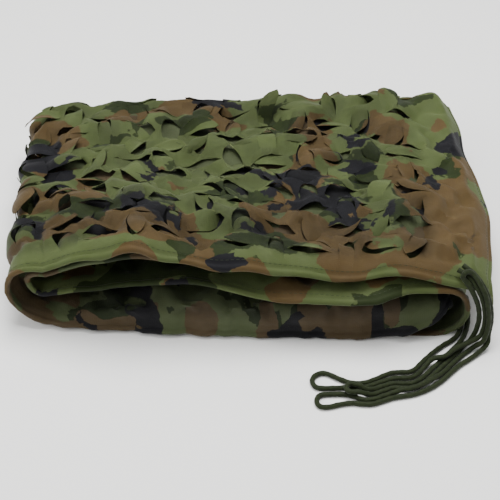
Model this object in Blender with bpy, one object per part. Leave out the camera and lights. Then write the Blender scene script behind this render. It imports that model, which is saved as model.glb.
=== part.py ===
"""A camouflage net as it is put away: one leaf-cut cloth, folded once lengthwise and then back and forth in
three, with the slack of its hem cord bunched into a skein at the corner.

Metres, +Z up. The origin is under the middle of the folded net, on the surface that it lies on. +X runs along
the long side and -Y is the side with the open hems.

The cloth is drawn flat first, as it is cut: s runs along its length and t across its width. Its two halves,
called plies, lie on each other with their fold at the back. The face ply begins at t = 0 and the under ply
ends at t = WIDTH. The doubled cloth runs back and forth: layer A on top, layer B below it, layer C on the
floor.
"""

import math

import bmesh
import bpy
import numpy as np
from mathutils import Vector
from mathutils.geometry import delaunay_2d_cdt

MM = 0.001

MIDDLE = np.array([2.7, 0.7, 0]) * MM  # the middle of the folded net, in the coordinates of the tables below

# Cloth and hem
CLOTH_THICK = 2.0 * MM
HEM_THICK = 4.2 * MM  # the hem is thick with the cord, pressed flatter, inside it
HEM_BEAD = 6.0 * MM
SIDE_BORDER = 34 * MM  # plain cloth between the hem's edge and the first leaves
END_BORDER = 62 * MM  # the same at the loose end

# The flat cloth, with the lengths that its layers and bends take up
NOMINAL_LEFT, NOMINAL_RIGHT, NOMINAL_END = -176 * MM, 160 * MM, 190 * MM
INNER_END_X = -145 * MM  # where layer C ends, inside the fold
END_ROLL, END_RADIUS = 32 * MM, 20 * MM  # the loose end of layer A turns down over the side
LENGTH_A = END_ROLL + NOMINAL_END - NOMINAL_LEFT
LENGTH_B, LENGTH_C = NOMINAL_RIGHT - NOMINAL_LEFT, NOMINAL_RIGHT - INNER_END_X
BEND_LEFT, BEND_RIGHT, BACK_BEND = 62 * MM, 50 * MM, 27 * MM
PLY = 290 * MM
WIDTH = 2 * PLY + BACK_BEND
KNOTS = np.cumsum([0, LENGTH_A, BEND_LEFT, LENGTH_B, BEND_RIGHT, LENGTH_C])
LENGTH = KNOTS[-1]

# Heights of the plies along the open side, in mm, as the middle of the cloth. Columns: x, then layer A's face
# and under ply, layer B's under and face ply, and layer C's face ply. Layer C's under ply lies on the floor.
FRONT = MM * np.array(
    [
        (-200, 62, 50, 32, 10, 8),
        (-176, 76, 60, 34, 11, 9),
        (-150, 89, 72, 38, 17, 10),
        (-120, 99, 80, 43, 25, 11),
        (-94, 107, 85, 47, 30, 12),
        (-72, 101, 84, 51, 35, 13),
        (-44, 93, 78, 56, 39, 14),
        (5, 88, 74, 55, 40, 15),
        (55, 80, 69, 56, 41, 15),
        (88, 76, 66, 56, 41, 14),
        (121, 83, 72, 61, 43, 13),
        (154, 75, 66, 58, 41, 13),
        (172, 69, 59, 52, 36, 13),
        (210, 62, 50, 46, 32, 13),
    ]
)
# The same columns at the back, where the layers lie closer.
BEHIND = MM * np.array(
    [
        (-200, 58, 46, 36, 16, 11),
        (-150, 63, 48, 41, 24, 17),
        (-60, 67, 50, 44, 29, 20),
        (60, 68, 50, 44, 29, 20),
        (150, 65, 48, 42, 28, 19),
        (210, 60, 46, 40, 26, 17),
    ]
)
OPEN_Y, CLOSED_Y = -112 * MM, 30 * MM  # the front heights fade to those at the back between these

# How far out the folded net reaches, in mm. Columns: y, then x of the left bend, right bend and loose end.
SIDES = MM * np.array(
    [
        (-130, -204, 184, 201),
        (-90, -208, 184, 209),
        (-45, -209, 183, 213),
        (10, -208, 182, 214),
        (60, -205, 182, 210),
        (100, -203, 181, 210),
        (140, -203, 179, 207),
    ]
)
# Where the lengthwise fold starts to turn, in mm. Columns: x, y.
BACK = MM * np.array([(-205, 121), (-150, 127), (-80, 127), (0, 123), (50, 128), (110, 137), (205, 138)])

# How each ply ends along the open side, in mm. Columns: the knot that a place is measured from (0 is the start
# of layer A, 1 the left bend, 2 layer B, 3 the right bend, 4 layer C and 5 its end) and how far past it the
# place is; then, for the face ply and for the under ply, the y where it starts to turn down, the length that
# hangs and the radius of the turn.
EDGE = np.array(
    [
        (0, 0, -124, 24, 20, -126, 9, 12),
        (0, 130, -122, 24, 20, -125, 9, 12),
        (0, 300, -117, 24, 20, -120, 9, 12),
        (1, 0, -108, 20, 18, -112, 8, 12),
        (1, 31, -110, 6, 10, -110, 3, 10),
        (2, 0, -112, 12, 10, -112, 8, 11),
        (2, 60, -121, 29, 10, -121, 12, 11),
        (2, 130, -127, 41, 9, -128, 14, 11),
        (2, 200, -131, 43, 9, -131, 14, 11),
        (2, 285, -135, 44, 9, -134, 14, 11),
        (3, -24, -134, 26, 9, -136, 12, 11),
        (3, 0, -130, 8, 9, -137, 9, 11),
        (3, 14, -127, 2, 9, -139, 4, 11),
        (4, 0, -122, 0, 9, -141, 0, 11),
        (4, 120, -122, 0, 9, -136, 0, 11),
        (5, 0, -112, 0, 9, -116, 0, 11),
    ]
)
EDGE = np.column_stack([KNOTS[EDGE[:, 0].astype(int)] + EDGE[:, 1] * MM, EDGE[:, 2:] * MM])

# Troughs and swells of layer A, in mm. Columns: x, y, reach in x, reach in y, height.
CREASES = MM * np.array(
    [
        (-62, -98, 60, 13, -7),
        (40, -80, 55, 18, -3),
        (-130, -20, 45, 40, 3),
        (20, 40, 60, 40, 3),
        (120, -60, 40, 30, 3),
        (90, 90, 60, 22, -3),
        (-70, 85, 50, 20, -3),
        (150, 20, 22, 70, 3),
    ]
)
RIPPLE, RIPPLE_PITCH = 1.3 * MM, 47 * MM  # the cloth between the leaves is never quite flat

# The leaf cuts: each is a slit round a pointed leaf, which stays joined at its root and curls up out of it.
LEAF_PITCH_S, LEAF_PITCH_T = 33.0 * MM, 30.0 * MM
LEAF_COLUMNS, LEAF_ROWS = 12, 9
LEAF_LONG, LEAF_WIDE = 25 * MM, 15 * MM
HOLE = [(-0.5, 0.0), (-0.52, 0.5), (0.05, 1.0), (0.52, 0.55), (0.5, 0.0)]
LEAF = [(0.4, 0.48), (0.12, 0.9), (-0.38, 0.45)]
LEAF_RISE = (4 * MM, 8 * MM)
LEAF_DRAWN_IN = 0.74  # a curled leaf covers this much of its length

# The hem cord, in mm: both of its legs come out of one slit in the hem, over the corner, and its slack lies on
# the floor in six runs side by side. One of its bights lies up between the legs.
CORD = 4.5 * MM
CORD_POINTS = 132
CORD_TURN = 15 * MM  # a turn of one radian gets as many points as this length of straight cord
CORD_ROUTE = MM * np.array(
    [
        # the first leg, from the slit over the hem and down on to the other runs
        (173.5, -134.5, 70.0),
        (179.6, -138.4, 67.8),
        (186.0, -143.2, 63.2),
        (192.0, -148.6, 54.0),
        (196.0, -150.4, 42.0),
        (198.0, -151.6, 29.0),
        (197.0, -153.2, 18.0),
        (192.5, -156.5, 12.0),
        (175.9, -163.1, 8.2),
        (168.3, -169.0, 7.9),
        (161.7, -173.7, 7.6),
        (156.5, -174.5, 7.4),
        (151.3, -175.8, 6.2),
        (145.7, -180.4, 3.4),
        # along the floor to the upper loop and back
        (139.8, -187.3, 2.4),
        (134.2, -191.6, 2.4),
        (129.1, -192.8, 2.4),
        (124.1, -192.9, 2.4),
        (118.2, -193.1, 2.4),
        (112.2, -195.1, 2.4),
        (105.3, -197.7, 2.4),
        (98.4, -200.7, 2.4),
        (90.7, -203.0, 2.4),
        (82.5, -202.8, 2.4),
        (73.4, -202.7, 2.4),
        (64.3, -202.9, 2.4),
        (56.0, -202.5, 2.4),
        (51.7, -200.0, 2.4),
        (49.9, -194.2, 2.4),
        (52.1, -188.7, 2.4),
        (56.7, -185.5, 2.4),
        (62.2, -185.7, 2.4),
        (67.8, -189.1, 2.4),
        (74.1, -193.3, 2.4),
        (82.1, -197.2, 2.4),
        (91.2, -197.8, 2.4),
        (98.9, -195.4, 2.4),
        (105.9, -191.9, 2.4),
        (112.0, -188.6, 2.4),
        (118.1, -186.4, 2.4),
        (124.9, -186.0, 2.4),
        (129.9, -186.0, 2.4),
        (135.1, -184.3, 2.4),
        (139.8, -179.7, 2.4),
        (144.8, -173.7, 2.4),
        (154.6, -163.4, 2.4),
        (164.2, -154.9, 2.4),
        (173.8, -147.8, 2.4),
        (180.1, -139.2, 2.4),
        (183.7, -126.7, 2.4),
        (186.2, -112.7, 2.4),
        # round the left bight under the loose end
        (183.0, -103.5, 2.4),
        (181.7, -96.5, 2.4),
        (183.3, -92.5, 2.4),
        (187.3, -90.9, 2.4),
        (191.3, -92.5, 2.4),
        (192.9, -96.5, 2.4),
        (191.9, -103.5, 2.4),
        (191.7, -112.8, 2.4),
        (189.4, -126.9, 2.4),
        (185.5, -139.4, 2.4),
        (179.3, -151.1, 2.4),
        # to the short bight, whose end lies over the other runs, and back
        (170.1, -161.9, 2.4),
        (162.0, -171.3, 2.4),
        (152.2, -181.7, 2.4),
        (142.5, -192.3, 2.4),
        (133.4, -198.7, 2.4),
        (125.0, -199.3, 2.4),
        (116.8, -199.0, 2.4),
        (108.2, -201.7, 2.4),
        (99.6, -205.5, 3.0),
        (92.8, -206.9, 4.8),
        (88.1, -205.0, 7.4),
        (82.4, -203.4, 7.7),
        (79.4, -204.1, 7.7),
        (77.2, -206.3, 7.7),
        (77.0, -209.5, 7.7),
        (78.7, -211.8, 7.7),
        (81.6, -212.7, 7.7),
        (87.4, -212.7, 7.4),
        (92.4, -212.2, 5.0),
        (99.0, -211.0, 2.6),
        (107.6, -207.4, 2.4),
        (116.2, -204.2, 2.4),
        (124.5, -204.5, 2.4),
        (132.7, -204.7, 2.4),
        (141.5, -200.1, 2.4),
        (151.1, -190.4, 2.4),
        (160.9, -179.6, 2.4),
        (168.9, -170.5, 2.4),
        (177.0, -161.4, 2.4),
        (182.9, -154.4, 2.4),
        # up beside the first leg and over it, and down between the two legs
        (187.6, -151.6, 5.0),
        (190.8, -150.6, 11.5),
        (192.6, -150.3, 20.0),
        (193.0, -150.3, 30.0),
        (191.0, -149.8, 42.0),
        (186.6, -148.6, 53.4),
        (181.3, -145.2, 62.2),
        (178.0, -143.3, 66.2),
        (176.5, -143.1, 69.3),
        (177.4, -142.4, 71.8),
        (179.7, -141.0, 73.0),
        (183.1, -140.6, 71.9),
        (185.8, -141.4, 69.7),
        (189.4, -145.3, 66.2),
        (195.6, -151.9, 55.5),
        (198.8, -155.0, 42.0),
        (200.3, -156.3, 28.5),
        (199.0, -158.0, 17.5),
        (196.3, -160.2, 11.0),
        (191.4, -159.4, 6.0),
        (186.6, -160.8, 2.8),
        # to the lower loop and back
        (177.2, -168.9, 2.4),
        (167.7, -178.9, 2.4),
        (159.8, -188.0, 2.8),
        (150.2, -197.2, 5.4),
        (141.1, -203.6, 6.3),
        (132.4, -207.7, 6.3),
        (124.0, -208.7, 5.4),
        (115.6, -209.9, 2.8),
        (107.1, -213.1, 2.4),
        (98.5, -216.5, 2.4),
        (90.3, -216.6, 2.4),
        (81.7, -212.1, 2.4),
        (72.8, -210.0, 2.4),
        (63.8, -209.8, 2.4),
        (57.6, -210.0, 2.4),
        (53.8, -212.2, 2.4),
        (52.2, -216.7, 2.4),
        (53.2, -221.4, 2.4),
        (56.7, -224.0, 2.4),
        (62.8, -223.7, 2.4),
        (71.9, -221.3, 2.4),
        (81.0, -220.2, 2.4),
        (89.9, -221.7, 2.4),
        (98.0, -221.7, 2.4),
        (106.5, -218.6, 2.4),
        (115.0, -215.3, 2.4),
        (123.4, -213.7, 2.4),
        (131.9, -212.0, 2.4),
        (140.5, -208.6, 2.4),
        (149.4, -203.4, 2.4),
        (158.7, -195.8, 2.4),
        (166.5, -187.6, 2.4),
        (175.3, -178.9, 2.4),
        (183.9, -172.4, 2.4),
        (192.8, -165.2, 3.0),
        # the second leg, back up to the slit
        (200.6, -159.2, 7.5),
        (202.0, -154.0, 15.5),
        (203.0, -152.5, 27.0),
        (201.5, -151.0, 41.0),
        (197.5, -147.5, 54.0),
        (191.5, -141.8, 63.2),
        (185.5, -135.5, 67.6),
        (178.5, -129.5, 70.2),
    ]
)


def smooth_table(x, rows, column):
    """A column of a table against its first column, joined by a smooth curve."""
    xs, zs = rows[:, 0], rows[:, column]
    slopes = np.gradient(zs, xs)
    i = np.clip(np.searchsorted(xs, x) - 1, 0, len(xs) - 2)
    step = xs[i + 1] - xs[i]
    u = np.clip((x - xs[i]) / step, 0, 1)
    rise = (3 - 2 * u) * u * u
    bow = step * u * (1 - u) * ((1 - u) * slopes[i] - u * slopes[i + 1])
    return zs[i] * (1 - rise) + zs[i + 1] * rise + bow


def smooth_step(x, start, end):
    u = np.clip((x - start) / (end - start), 0, 1)
    return u * u * (3 - 2 * u)


def height(x, y, face_column, under_column, under):
    """The height of one layer's face ply, or of its under ply where under is true."""
    back = smooth_step(y, OPEN_Y, CLOSED_Y)

    def of(column):
        if column is None:
            return np.full_like(x, CLOTH_THICK / 2)
        return (1 - back) * smooth_table(x, FRONT, column) + back * smooth_table(x, BEHIND, column)

    return np.where(under, of(under_column), of(face_column))


def turned(u, radius):
    """How far out and how far down a cloth has gone, u after it starts to turn down."""
    angle = np.minimum(u / radius, math.pi / 2)
    rest = np.maximum(u - radius * math.pi / 2, 0)
    return radius * np.sin(angle), radius * (1 - np.cos(angle)) + rest


def layer_share(s, k):
    """How far along layer or bend k the place s is, from 0 to 1."""
    return np.clip((s - KNOTS[k]) / (KNOTS[k + 1] - KNOTS[k]), 0, 1)


def ply_point(s, y, under):
    """x and z of a ply of the doubled cloth, at s along it, without what hangs at its open edge."""
    left_out, right_out, end_out = (smooth_table(y, SIDES, k) for k in (1, 2, 3))
    end_x = end_out - END_RADIUS
    top = height(left_out + 30 * MM, y, 1, 2, under)
    low = height(left_out + 30 * MM, y, 4, 3, under)
    face_top = height(left_out + 30 * MM, y, 1, 2, False)
    face_low = height(left_out + 30 * MM, y, 4, 3, False)
    left_x = left_out + (face_top - face_low) / 2
    high = height(right_out - 23 * MM, y, 4, 3, under)
    bottom = height(right_out - 23 * MM, y, 5, None, under)
    under_high = height(right_out - 23 * MM, y, 4, 3, True)
    right_x = right_out - (under_high - CLOTH_THICK / 2) / 2

    roll = np.maximum(END_ROLL - s, 0) * np.where(under, 0.5, 1.0)
    out, down = turned(roll, np.where(under, 0.6, 1.0) * END_RADIUS)
    share_a = np.clip((s - END_ROLL) / (LENGTH_A - END_ROLL), 0, 1)
    x_a = end_x + share_a * (left_x - end_x)
    x_b = left_x + layer_share(s, 2) * (right_x - left_x)
    x_c = right_x + layer_share(s, 4) * (INNER_END_X - right_x)
    left, right = layer_share(s, 1) * math.pi, layer_share(s, 3) * math.pi
    places = [s <= KNOTS[1], s <= KNOTS[2], s <= KNOTS[3], s <= KNOTS[4]]
    x_left = left_x - np.sin(left) * (top - low) / 2
    x_right = right_x + np.sin(right) * (high - bottom) / 2
    x = np.select(places, [x_a + out, x_left, x_b, x_right], x_c)
    z_left = (top + low) / 2 + np.cos(left) * (top - low) / 2
    z_right = (high + bottom) / 2 + np.cos(right) * (high - bottom) / 2
    z_a, z_b, z_c = height(x_a, y, 1, 2, under), height(x_b, y, 4, 3, under), height(x_c, y, 5, None, under)
    # The layers meet their bends without a step.
    z_a += (top - height(left_x, y, 1, 2, under)) * share_a
    z_b += (low - height(left_x, y, 4, 3, under)) * (1 - layer_share(s, 2))
    z_b += (high - height(right_x, y, 4, 3, under)) * layer_share(s, 2)
    z_c += (bottom - height(right_x, y, 5, None, under)) * (1 - layer_share(s, 4))
    return x, np.select(places, [z_a - down, z_left, z_b, z_right], z_c)


def nominal_x(s):
    places = [s <= KNOTS[1], s <= KNOTS[2], s <= KNOTS[3], s <= KNOTS[4]]
    x_a, x_b = NOMINAL_END + END_ROLL - s, NOMINAL_LEFT + s - KNOTS[2]
    return np.select(places, [x_a, NOMINAL_LEFT, x_b, NOMINAL_RIGHT], NOMINAL_RIGHT - (s - KNOTS[4]))


def fold(s, t):
    """Where the points s, t of the flat cloth lie once it is folded."""
    under = t > WIDTH / 2
    from_hem = np.minimum(t, WIDTH - t)
    turn_y, hangs, radius = (
        np.where(under, np.interp(s, EDGE[:, 0], EDGE[:, 3 + k]), np.interp(s, EDGE[:, 0], EDGE[:, k]))
        for k in (1, 2, 3)
    )
    back_y = smooth_table(nominal_x(s), BACK, 1)
    along = np.minimum(from_hem / PLY, 1) * (hangs + back_y - turn_y) - hangs
    y = turn_y + np.maximum(along, 0)
    out, down = turned(np.maximum(-along, 0), radius)
    x, z = ply_point(s, y, under)
    points = np.stack([x, y - out, z - down], -1)
    # The lengthwise fold is half a turn from the face ply to the under ply.
    turn = np.clip((t - PLY) / BACK_BEND, 0, 1) * math.pi
    face, other = (np.stack(ply_point(s, back_y, np.full(s.shape, side)), -1) for side in (False, True))
    middle, half = (face + other) / 2, (face - other) / 2
    around = middle + half * np.cos(turn)[..., None]
    behind = back_y + np.linalg.norm(half, axis=-1) * np.sin(turn)
    at_back = (t > PLY) & (t < WIDTH - PLY)
    points[at_back] = np.stack([around[..., 0], behind, around[..., 1]], -1)[at_back]
    points[..., 2] += swells(points, s, under)
    return points


def swells(points, s, under):
    """The soft troughs, swells and ripples of layer A."""
    x, y = points[..., 0], points[..., 1]
    lift = RIPPLE * np.sin(x * math.tau / RIPPLE_PITCH + 2) * np.cos(y * math.tau / RIPPLE_PITCH + x * 9)
    for at_x, at_y, reach_x, reach_y, rise in CREASES:
        lift += rise * np.exp(-(((x - at_x) / reach_x) ** 2) - ((y - at_y) / reach_y) ** 2)
    lift *= (1 - smooth_step(s, KNOTS[1] - 30 * MM, KNOTS[1])) * smooth_step(s, 0, 40 * MM)
    return np.where(under, 0.5 * lift, lift)


def leaf_cuts():
    """The outline of each leaf cut that shows from outside, and how high its leaf rises."""
    random = np.random.default_rng(7)
    shape = np.array(HOLE + LEAF) * (LEAF_WIDE, LEAF_LONG) - (0, LEAF_LONG / 2)
    cuts = []
    for column in range(LEAF_COLUMNS):
        for row in range(LEAF_ROWS):
            middle = np.array([column + 0.5, row + 0.5]) * (LEAF_PITCH_S, LEAF_PITCH_T)
            middle += random.uniform(-1.5, 1.5, 2) * MM + (END_BORDER, SIDE_BORDER)
            angle = math.pi / 2 * random.integers(4) + random.uniform(-0.6, 0.6)
            turn = np.array([[math.cos(angle), math.sin(angle)], [-math.sin(angle), math.cos(angle)]])
            cuts.append((shape * random.uniform(0.88, 1.05) @ turn + middle, random.uniform(*LEAF_RISE)))
    return cuts


def inside(points, outline):
    """Which points lie inside a closed outline."""
    crossed = np.zeros(len(points), bool)
    for (x0, y0), (x1, y1) in zip(outline, np.roll(outline, -1, axis=0)):
        if y0 == y1:
            continue
        spans = (y0 > points[:, 1]) != (y1 > points[:, 1])
        crossed ^= spans & (points[:, 0] < x0 + (points[:, 1] - y0) * (x1 - x0) / (y1 - y0))
    return crossed


def plain_points(cuts):
    """Points of the flat cloth outside the leaf cuts: close together at hems and bends, sparse elsewhere."""
    end_lines = [0, HEM_BEAD, 15 * MM, 24 * MM, END_ROLL, 47 * MM]
    cell_lines = list(np.arange(LEAF_COLUMNS * 2 + 1) * LEAF_PITCH_S / 2 + END_BORDER)
    b_lines = list(np.linspace(KNOTS[2], KNOTS[3], 17))
    c_lines = list(np.linspace(KNOTS[4], KNOTS[5], 9))
    bend_lines = list(np.linspace(KNOTS[1], KNOTS[2], 7)) + list(np.linspace(KNOTS[3], KNOTS[4], 9)[1:-1])
    hem_lines = [0, HEM_BEAD, 13 * MM, 23 * MM, SIDE_BORDER]
    row_lines = list(SIDE_BORDER + np.arange(1, LEAF_ROWS + 1) * LEAF_PITCH_T)
    back_lines = list(PLY + BACK_BEND * np.array([0, 0.25, 0.5, 0.75, 1]))
    under_lines = list(np.linspace(PLY + BACK_BEND, WIDTH - SIDE_BORDER, 4)[1:-1])

    def grid(s_lines, t_lines):
        return [(s, t) for s in s_lines for t in t_lines]

    hems = hem_lines + [WIDTH - t for t in hem_lines]
    points = grid(end_lines, hems + row_lines[:-1] + back_lines + under_lines)
    points += grid(cell_lines[::2], hems + row_lines[:-1] + back_lines)
    points += grid(cell_lines[1::2], hems + back_lines[::2])
    points += grid(cell_lines[::4], under_lines)
    points += grid(bend_lines, hems + row_lines[:-1:2] + back_lines + under_lines)
    points += grid(b_lines, hems)
    points += grid(b_lines[::2], back_lines)
    points += grid(b_lines[::4], row_lines[1:-1:3] + under_lines)
    points += grid(c_lines, [0, SIDE_BORDER] + back_lines + [WIDTH - SIDE_BORDER, WIDTH])
    points += grid(c_lines[::2], row_lines[1:-1:3] + under_lines)
    points = np.unique(np.round(np.array(points), 6), axis=0)
    apart = np.ones(len(points), bool)
    for outline, _ in cuts:
        middle = outline[: len(HOLE)].mean(0)
        apart &= ~inside(points, middle + (outline[: len(HOLE)] - middle) * 1.3)
    return points[apart]


def cut_cloth():
    """The flat cloth with its leaf cuts: its points, its triangles, and each cut's points with its rise."""
    cuts = leaf_cuts()
    points = list(plain_points(cuts))
    edges, leaves = [], []
    for outline, rise in cuts:
        corners = [len(points) + k for k in range(len(outline))]
        points += list(outline)
        edges += list(zip(corners, corners[1:] + corners[:1]))
        leaves.append((corners, rise))
    vertices, _, faces, found, _, _ = delaunay_2d_cdt([Vector(p) for p in points], edges, [], 0, 1e-7)
    place = {old: new for new, olds in enumerate(found) for old in olds}
    flat = np.array([tuple(v) for v in vertices])
    faces = np.array([tuple(f) for f in faces if len(f) == 3])
    keep = np.ones(len(faces), bool)
    for outline, _ in cuts:
        keep &= ~inside(flat[faces].mean(1), outline)
    return flat, faces[keep], [([place[c] for c in corners], rise) for corners, rise in leaves]


def curl_leaves(folded, leaves):
    """Lifts each leaf out of its hole: it rises from its root and lies over towards its tip."""
    roots = len(HOLE)
    for corners, rise in leaves:
        root = (folded[corners[0]] + folded[corners[roots - 1]]) / 2
        along = folded[corners[roots - 1]] - folded[corners[0]]
        width = np.linalg.norm(along)
        along = along / width
        inwards = folded[corners[roots // 2]] - root
        inwards -= along * (inwards @ along)
        inwards /= np.linalg.norm(inwards)
        out = np.cross(inwards, along)
        for corner, (side, reach) in zip(corners[roots:], LEAF):
            forward = inwards * reach * LEAF_LONG * LEAF_DRAWN_IN
            upward = out * rise * math.sin(reach * math.pi / 2)
            folded[corner] = root + along * side * width + forward + upward


def solid_cloth(folded, flat, faces):
    """The closed solid of a cloth: its two sides and the walls along its edges."""
    a, b, c = (folded[faces[:, k]] for k in range(3))
    normals = np.zeros_like(folded)
    for k in range(3):
        np.add.at(normals, faces[:, k], np.cross(b - a, c - a))
    normals /= np.linalg.norm(normals, axis=1)[:, None]
    to_edge = np.minimum.reduce([flat[:, 0], LENGTH - flat[:, 0], flat[:, 1], WIDTH - flat[:, 1]])
    in_hem = (to_edge <= HEM_BEAD + 1e-6) & (flat[:, 0] < KNOTS[4] - 1e-6)
    thick = np.where(in_hem, HEM_THICK, CLOTH_THICK)
    count = len(folded)
    points = np.concatenate([folded + normals * thick[:, None] / 2, folded - normals * thick[:, None] / 2])
    ends = np.concatenate([faces[:, [0, 1]], faces[:, [1, 2]], faces[:, [2, 0]]])
    known = {tuple(e) for e in ends}
    rim = [(i, j) for i, j in ends if (j, i) not in known]
    sides = [tuple(f) for f in faces] + [tuple(f[::-1] + count) for f in faces]
    return points, sides + [(j, i, i + count, j + count) for i, j in rim]


def material(name, colour, roughness):
    made = bpy.data.materials.new(name)
    made.use_nodes = True
    shader = made.node_tree.nodes["Principled BSDF"]
    shader.inputs["Base Color"].default_value = (*colour, 1)
    shader.inputs["Roughness"].default_value = roughness
    return made


def add_net():
    flat, faces, leaves = cut_cloth()
    folded = fold(flat[:, 0], flat[:, 1])
    curl_leaves(folded, leaves)
    points, polygons = solid_cloth(folded, flat, faces)
    mesh = bpy.data.meshes.new("net_cloth")
    mesh.from_pydata([tuple(p) for p in points - MIDDLE], [], polygons)
    net = bpy.data.objects.new("net_cloth", mesh)
    bpy.context.scene.collection.objects.link(net)
    work = bmesh.new()
    work.from_mesh(mesh)
    bmesh.ops.recalc_face_normals(work, faces=work.faces)
    work.to_mesh(mesh)
    work.free()
    mesh.materials.append(material("camouflage polyester", (0.16, 0.2, 0.08), 0.8))
    return net


def smooth_path(route, count):
    """Points along a smooth curve through the points of a route, closer together where it bends."""
    padded = np.concatenate([[2 * route[0] - route[1]], route, [2 * route[-1] - route[-2]]])
    before, start, end, after = padded[:-3, None], padded[1:-2, None], padded[2:-1, None], padded[3:, None]
    u = np.linspace(0, 1, 12, endpoint=False)[None, :, None]
    bent = 2 * start + (end - before) * u
    bent += (2 * before - 5 * start + 4 * end - after) * u**2 + (3 * start - before - 3 * end + after) * u**3
    curve = np.concatenate([(bent / 2).reshape(-1, 3), route[-1:]])
    steps = np.diff(curve, axis=0)
    lengths = np.linalg.norm(steps, axis=1)
    along = steps / lengths[:, None]
    turns = np.concatenate([[0], np.arccos(np.clip((along[1:] * along[:-1]).sum(1), -1, 1))])
    run = np.concatenate([[0], np.cumsum(lengths + turns * CORD_TURN)])
    places = np.linspace(0, run[-1], count)
    return np.stack([np.interp(places, run, curve[:, k]) for k in range(3)], -1)


def add_cord():
    curve = bpy.data.curves.new("draw_cord", "CURVE")
    curve.dimensions = "3D"
    curve.bevel_depth = CORD / 2
    curve.bevel_resolution = 2
    curve.use_fill_caps = True
    points = smooth_path(CORD_ROUTE, CORD_POINTS) - MIDDLE
    spline = curve.splines.new("POLY")
    spline.points.add(len(points) - 1)
    for point, place in zip(spline.points, points):
        point.co = (*place, 1)
    curve.materials.append(material("braided polyester cord", (0.035, 0.06, 0.025), 0.7))
    bpy.context.scene.collection.objects.link(bpy.data.objects.new("draw_cord", curve))


def main():
    for old in list(bpy.data.objects):
        bpy.data.objects.remove(old, do_unlink=True)
    add_net()
    add_cord()


main()
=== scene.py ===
"""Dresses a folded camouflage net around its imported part: the leaf-cut cloth, its sewn hem and draw cord.

Metres, +Z up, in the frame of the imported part. The cloth is drawn flat first, as it is cut: s runs along its
length and t across its width. Its two halves, called plies, lie on each other with their fold at the back.
The face ply begins at t = 0 and the under ply ends at t = WIDTH. The doubled cloth runs back and forth:
layer A on top, layer B below it, layer C on the floor.
"""

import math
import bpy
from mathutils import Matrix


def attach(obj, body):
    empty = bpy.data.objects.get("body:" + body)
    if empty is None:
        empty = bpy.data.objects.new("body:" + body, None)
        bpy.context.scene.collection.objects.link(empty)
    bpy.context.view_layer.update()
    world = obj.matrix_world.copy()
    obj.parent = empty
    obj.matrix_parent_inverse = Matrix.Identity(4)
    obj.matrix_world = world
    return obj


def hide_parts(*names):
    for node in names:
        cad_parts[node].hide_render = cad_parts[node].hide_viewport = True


bl_info = {
    "name": "Folded Camouflage Net",
    "version": (1, 0, 0),
    "blender": (4, 5, 0),
    "location": "3D View > Sidebar > Camouflage Net",
    "description": "Builds the cloth, seam and cord of a folded leaf-cut net, and a plain stage for it",
    "category": "Add Mesh",
}

import bpy
import numpy as np
from bpy.props import FloatProperty, FloatVectorProperty, IntProperty, PointerProperty
from mathutils import Vector
from mathutils.geometry import delaunay_2d_cdt

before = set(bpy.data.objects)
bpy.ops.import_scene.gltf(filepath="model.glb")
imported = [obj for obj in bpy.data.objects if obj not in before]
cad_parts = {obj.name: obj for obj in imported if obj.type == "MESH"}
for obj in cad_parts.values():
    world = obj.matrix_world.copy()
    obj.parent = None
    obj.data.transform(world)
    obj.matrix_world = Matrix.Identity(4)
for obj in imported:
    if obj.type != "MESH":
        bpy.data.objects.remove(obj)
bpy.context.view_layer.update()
BODY = "root"

MM = 0.001
CAMERA_PLACE = (-0.0285, -1.0127, 0.8322)
CAMERA_DOWN, CAMERA_TURN = math.radians(40), math.radians(1.69)
CAMERA_LENS, CAMERA_SENSOR = 100.8, 36
FLOOR_REACH = 8  # metres to each side
CORD_RINGS, CORD_SIDES = 1500, 14
MIDDLE = np.array([2.7, 0.7, 0]) * MM  # the middle of the folded net, in the coordinates of the tables below

# Cloth and hem
CLOTH_THICK = 0.5 * MM
HEM_THICK = 4.6 * MM  # the hem is thick with the cord, pressed flatter, inside it
HEM_BEAD = 6.0 * MM
HEM_TURN = 12.5 * MM  # how far in the hem is turned over
FLOOR_LIFT = 1.0 * MM  # the middle of the cloth that lies on the floor
SIDE_BORDER = 17 * MM  # plain cloth between the hem's edge and the first leaves
END_BORDER = 62 * MM  # the same at the loose end

# The flat cloth, with the lengths that its layers and bends take up
NOMINAL_LEFT, NOMINAL_RIGHT, NOMINAL_END = -176 * MM, 160 * MM, 190 * MM
INNER_END_X = -145 * MM  # where layer C ends, inside the fold
END_ROLL, END_RADIUS = 32 * MM, 20 * MM  # the loose end of layer A turns down over the side
UNDER_ROLL, UNDER_RADIUS = 0.5, 0.6  # its under ply turns down this share of them
BY_LEFT, BY_RIGHT = 30 * MM, 23 * MM  # how far inside its outermost place each bend takes its heights
LENGTH_A = END_ROLL + NOMINAL_END - NOMINAL_LEFT
LENGTH_B, LENGTH_C = NOMINAL_RIGHT - NOMINAL_LEFT, NOMINAL_RIGHT - INNER_END_X
BEND_LEFT, BEND_RIGHT, BACK_BEND = 62 * MM, 50 * MM, 27 * MM
PLY = 290 * MM
WIDTH = 2 * PLY + BACK_BEND
KNOTS = np.cumsum([0, LENGTH_A, BEND_LEFT, LENGTH_B, BEND_RIGHT, LENGTH_C])
START_LEFT, START_B, START_RIGHT, START_C, LENGTH = KNOTS[1:]  # where the bends and layers B and C start
PAST_LEFT = START_B + 10 * MM  # the leafy cloth of layer A and its bend ends here

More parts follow.
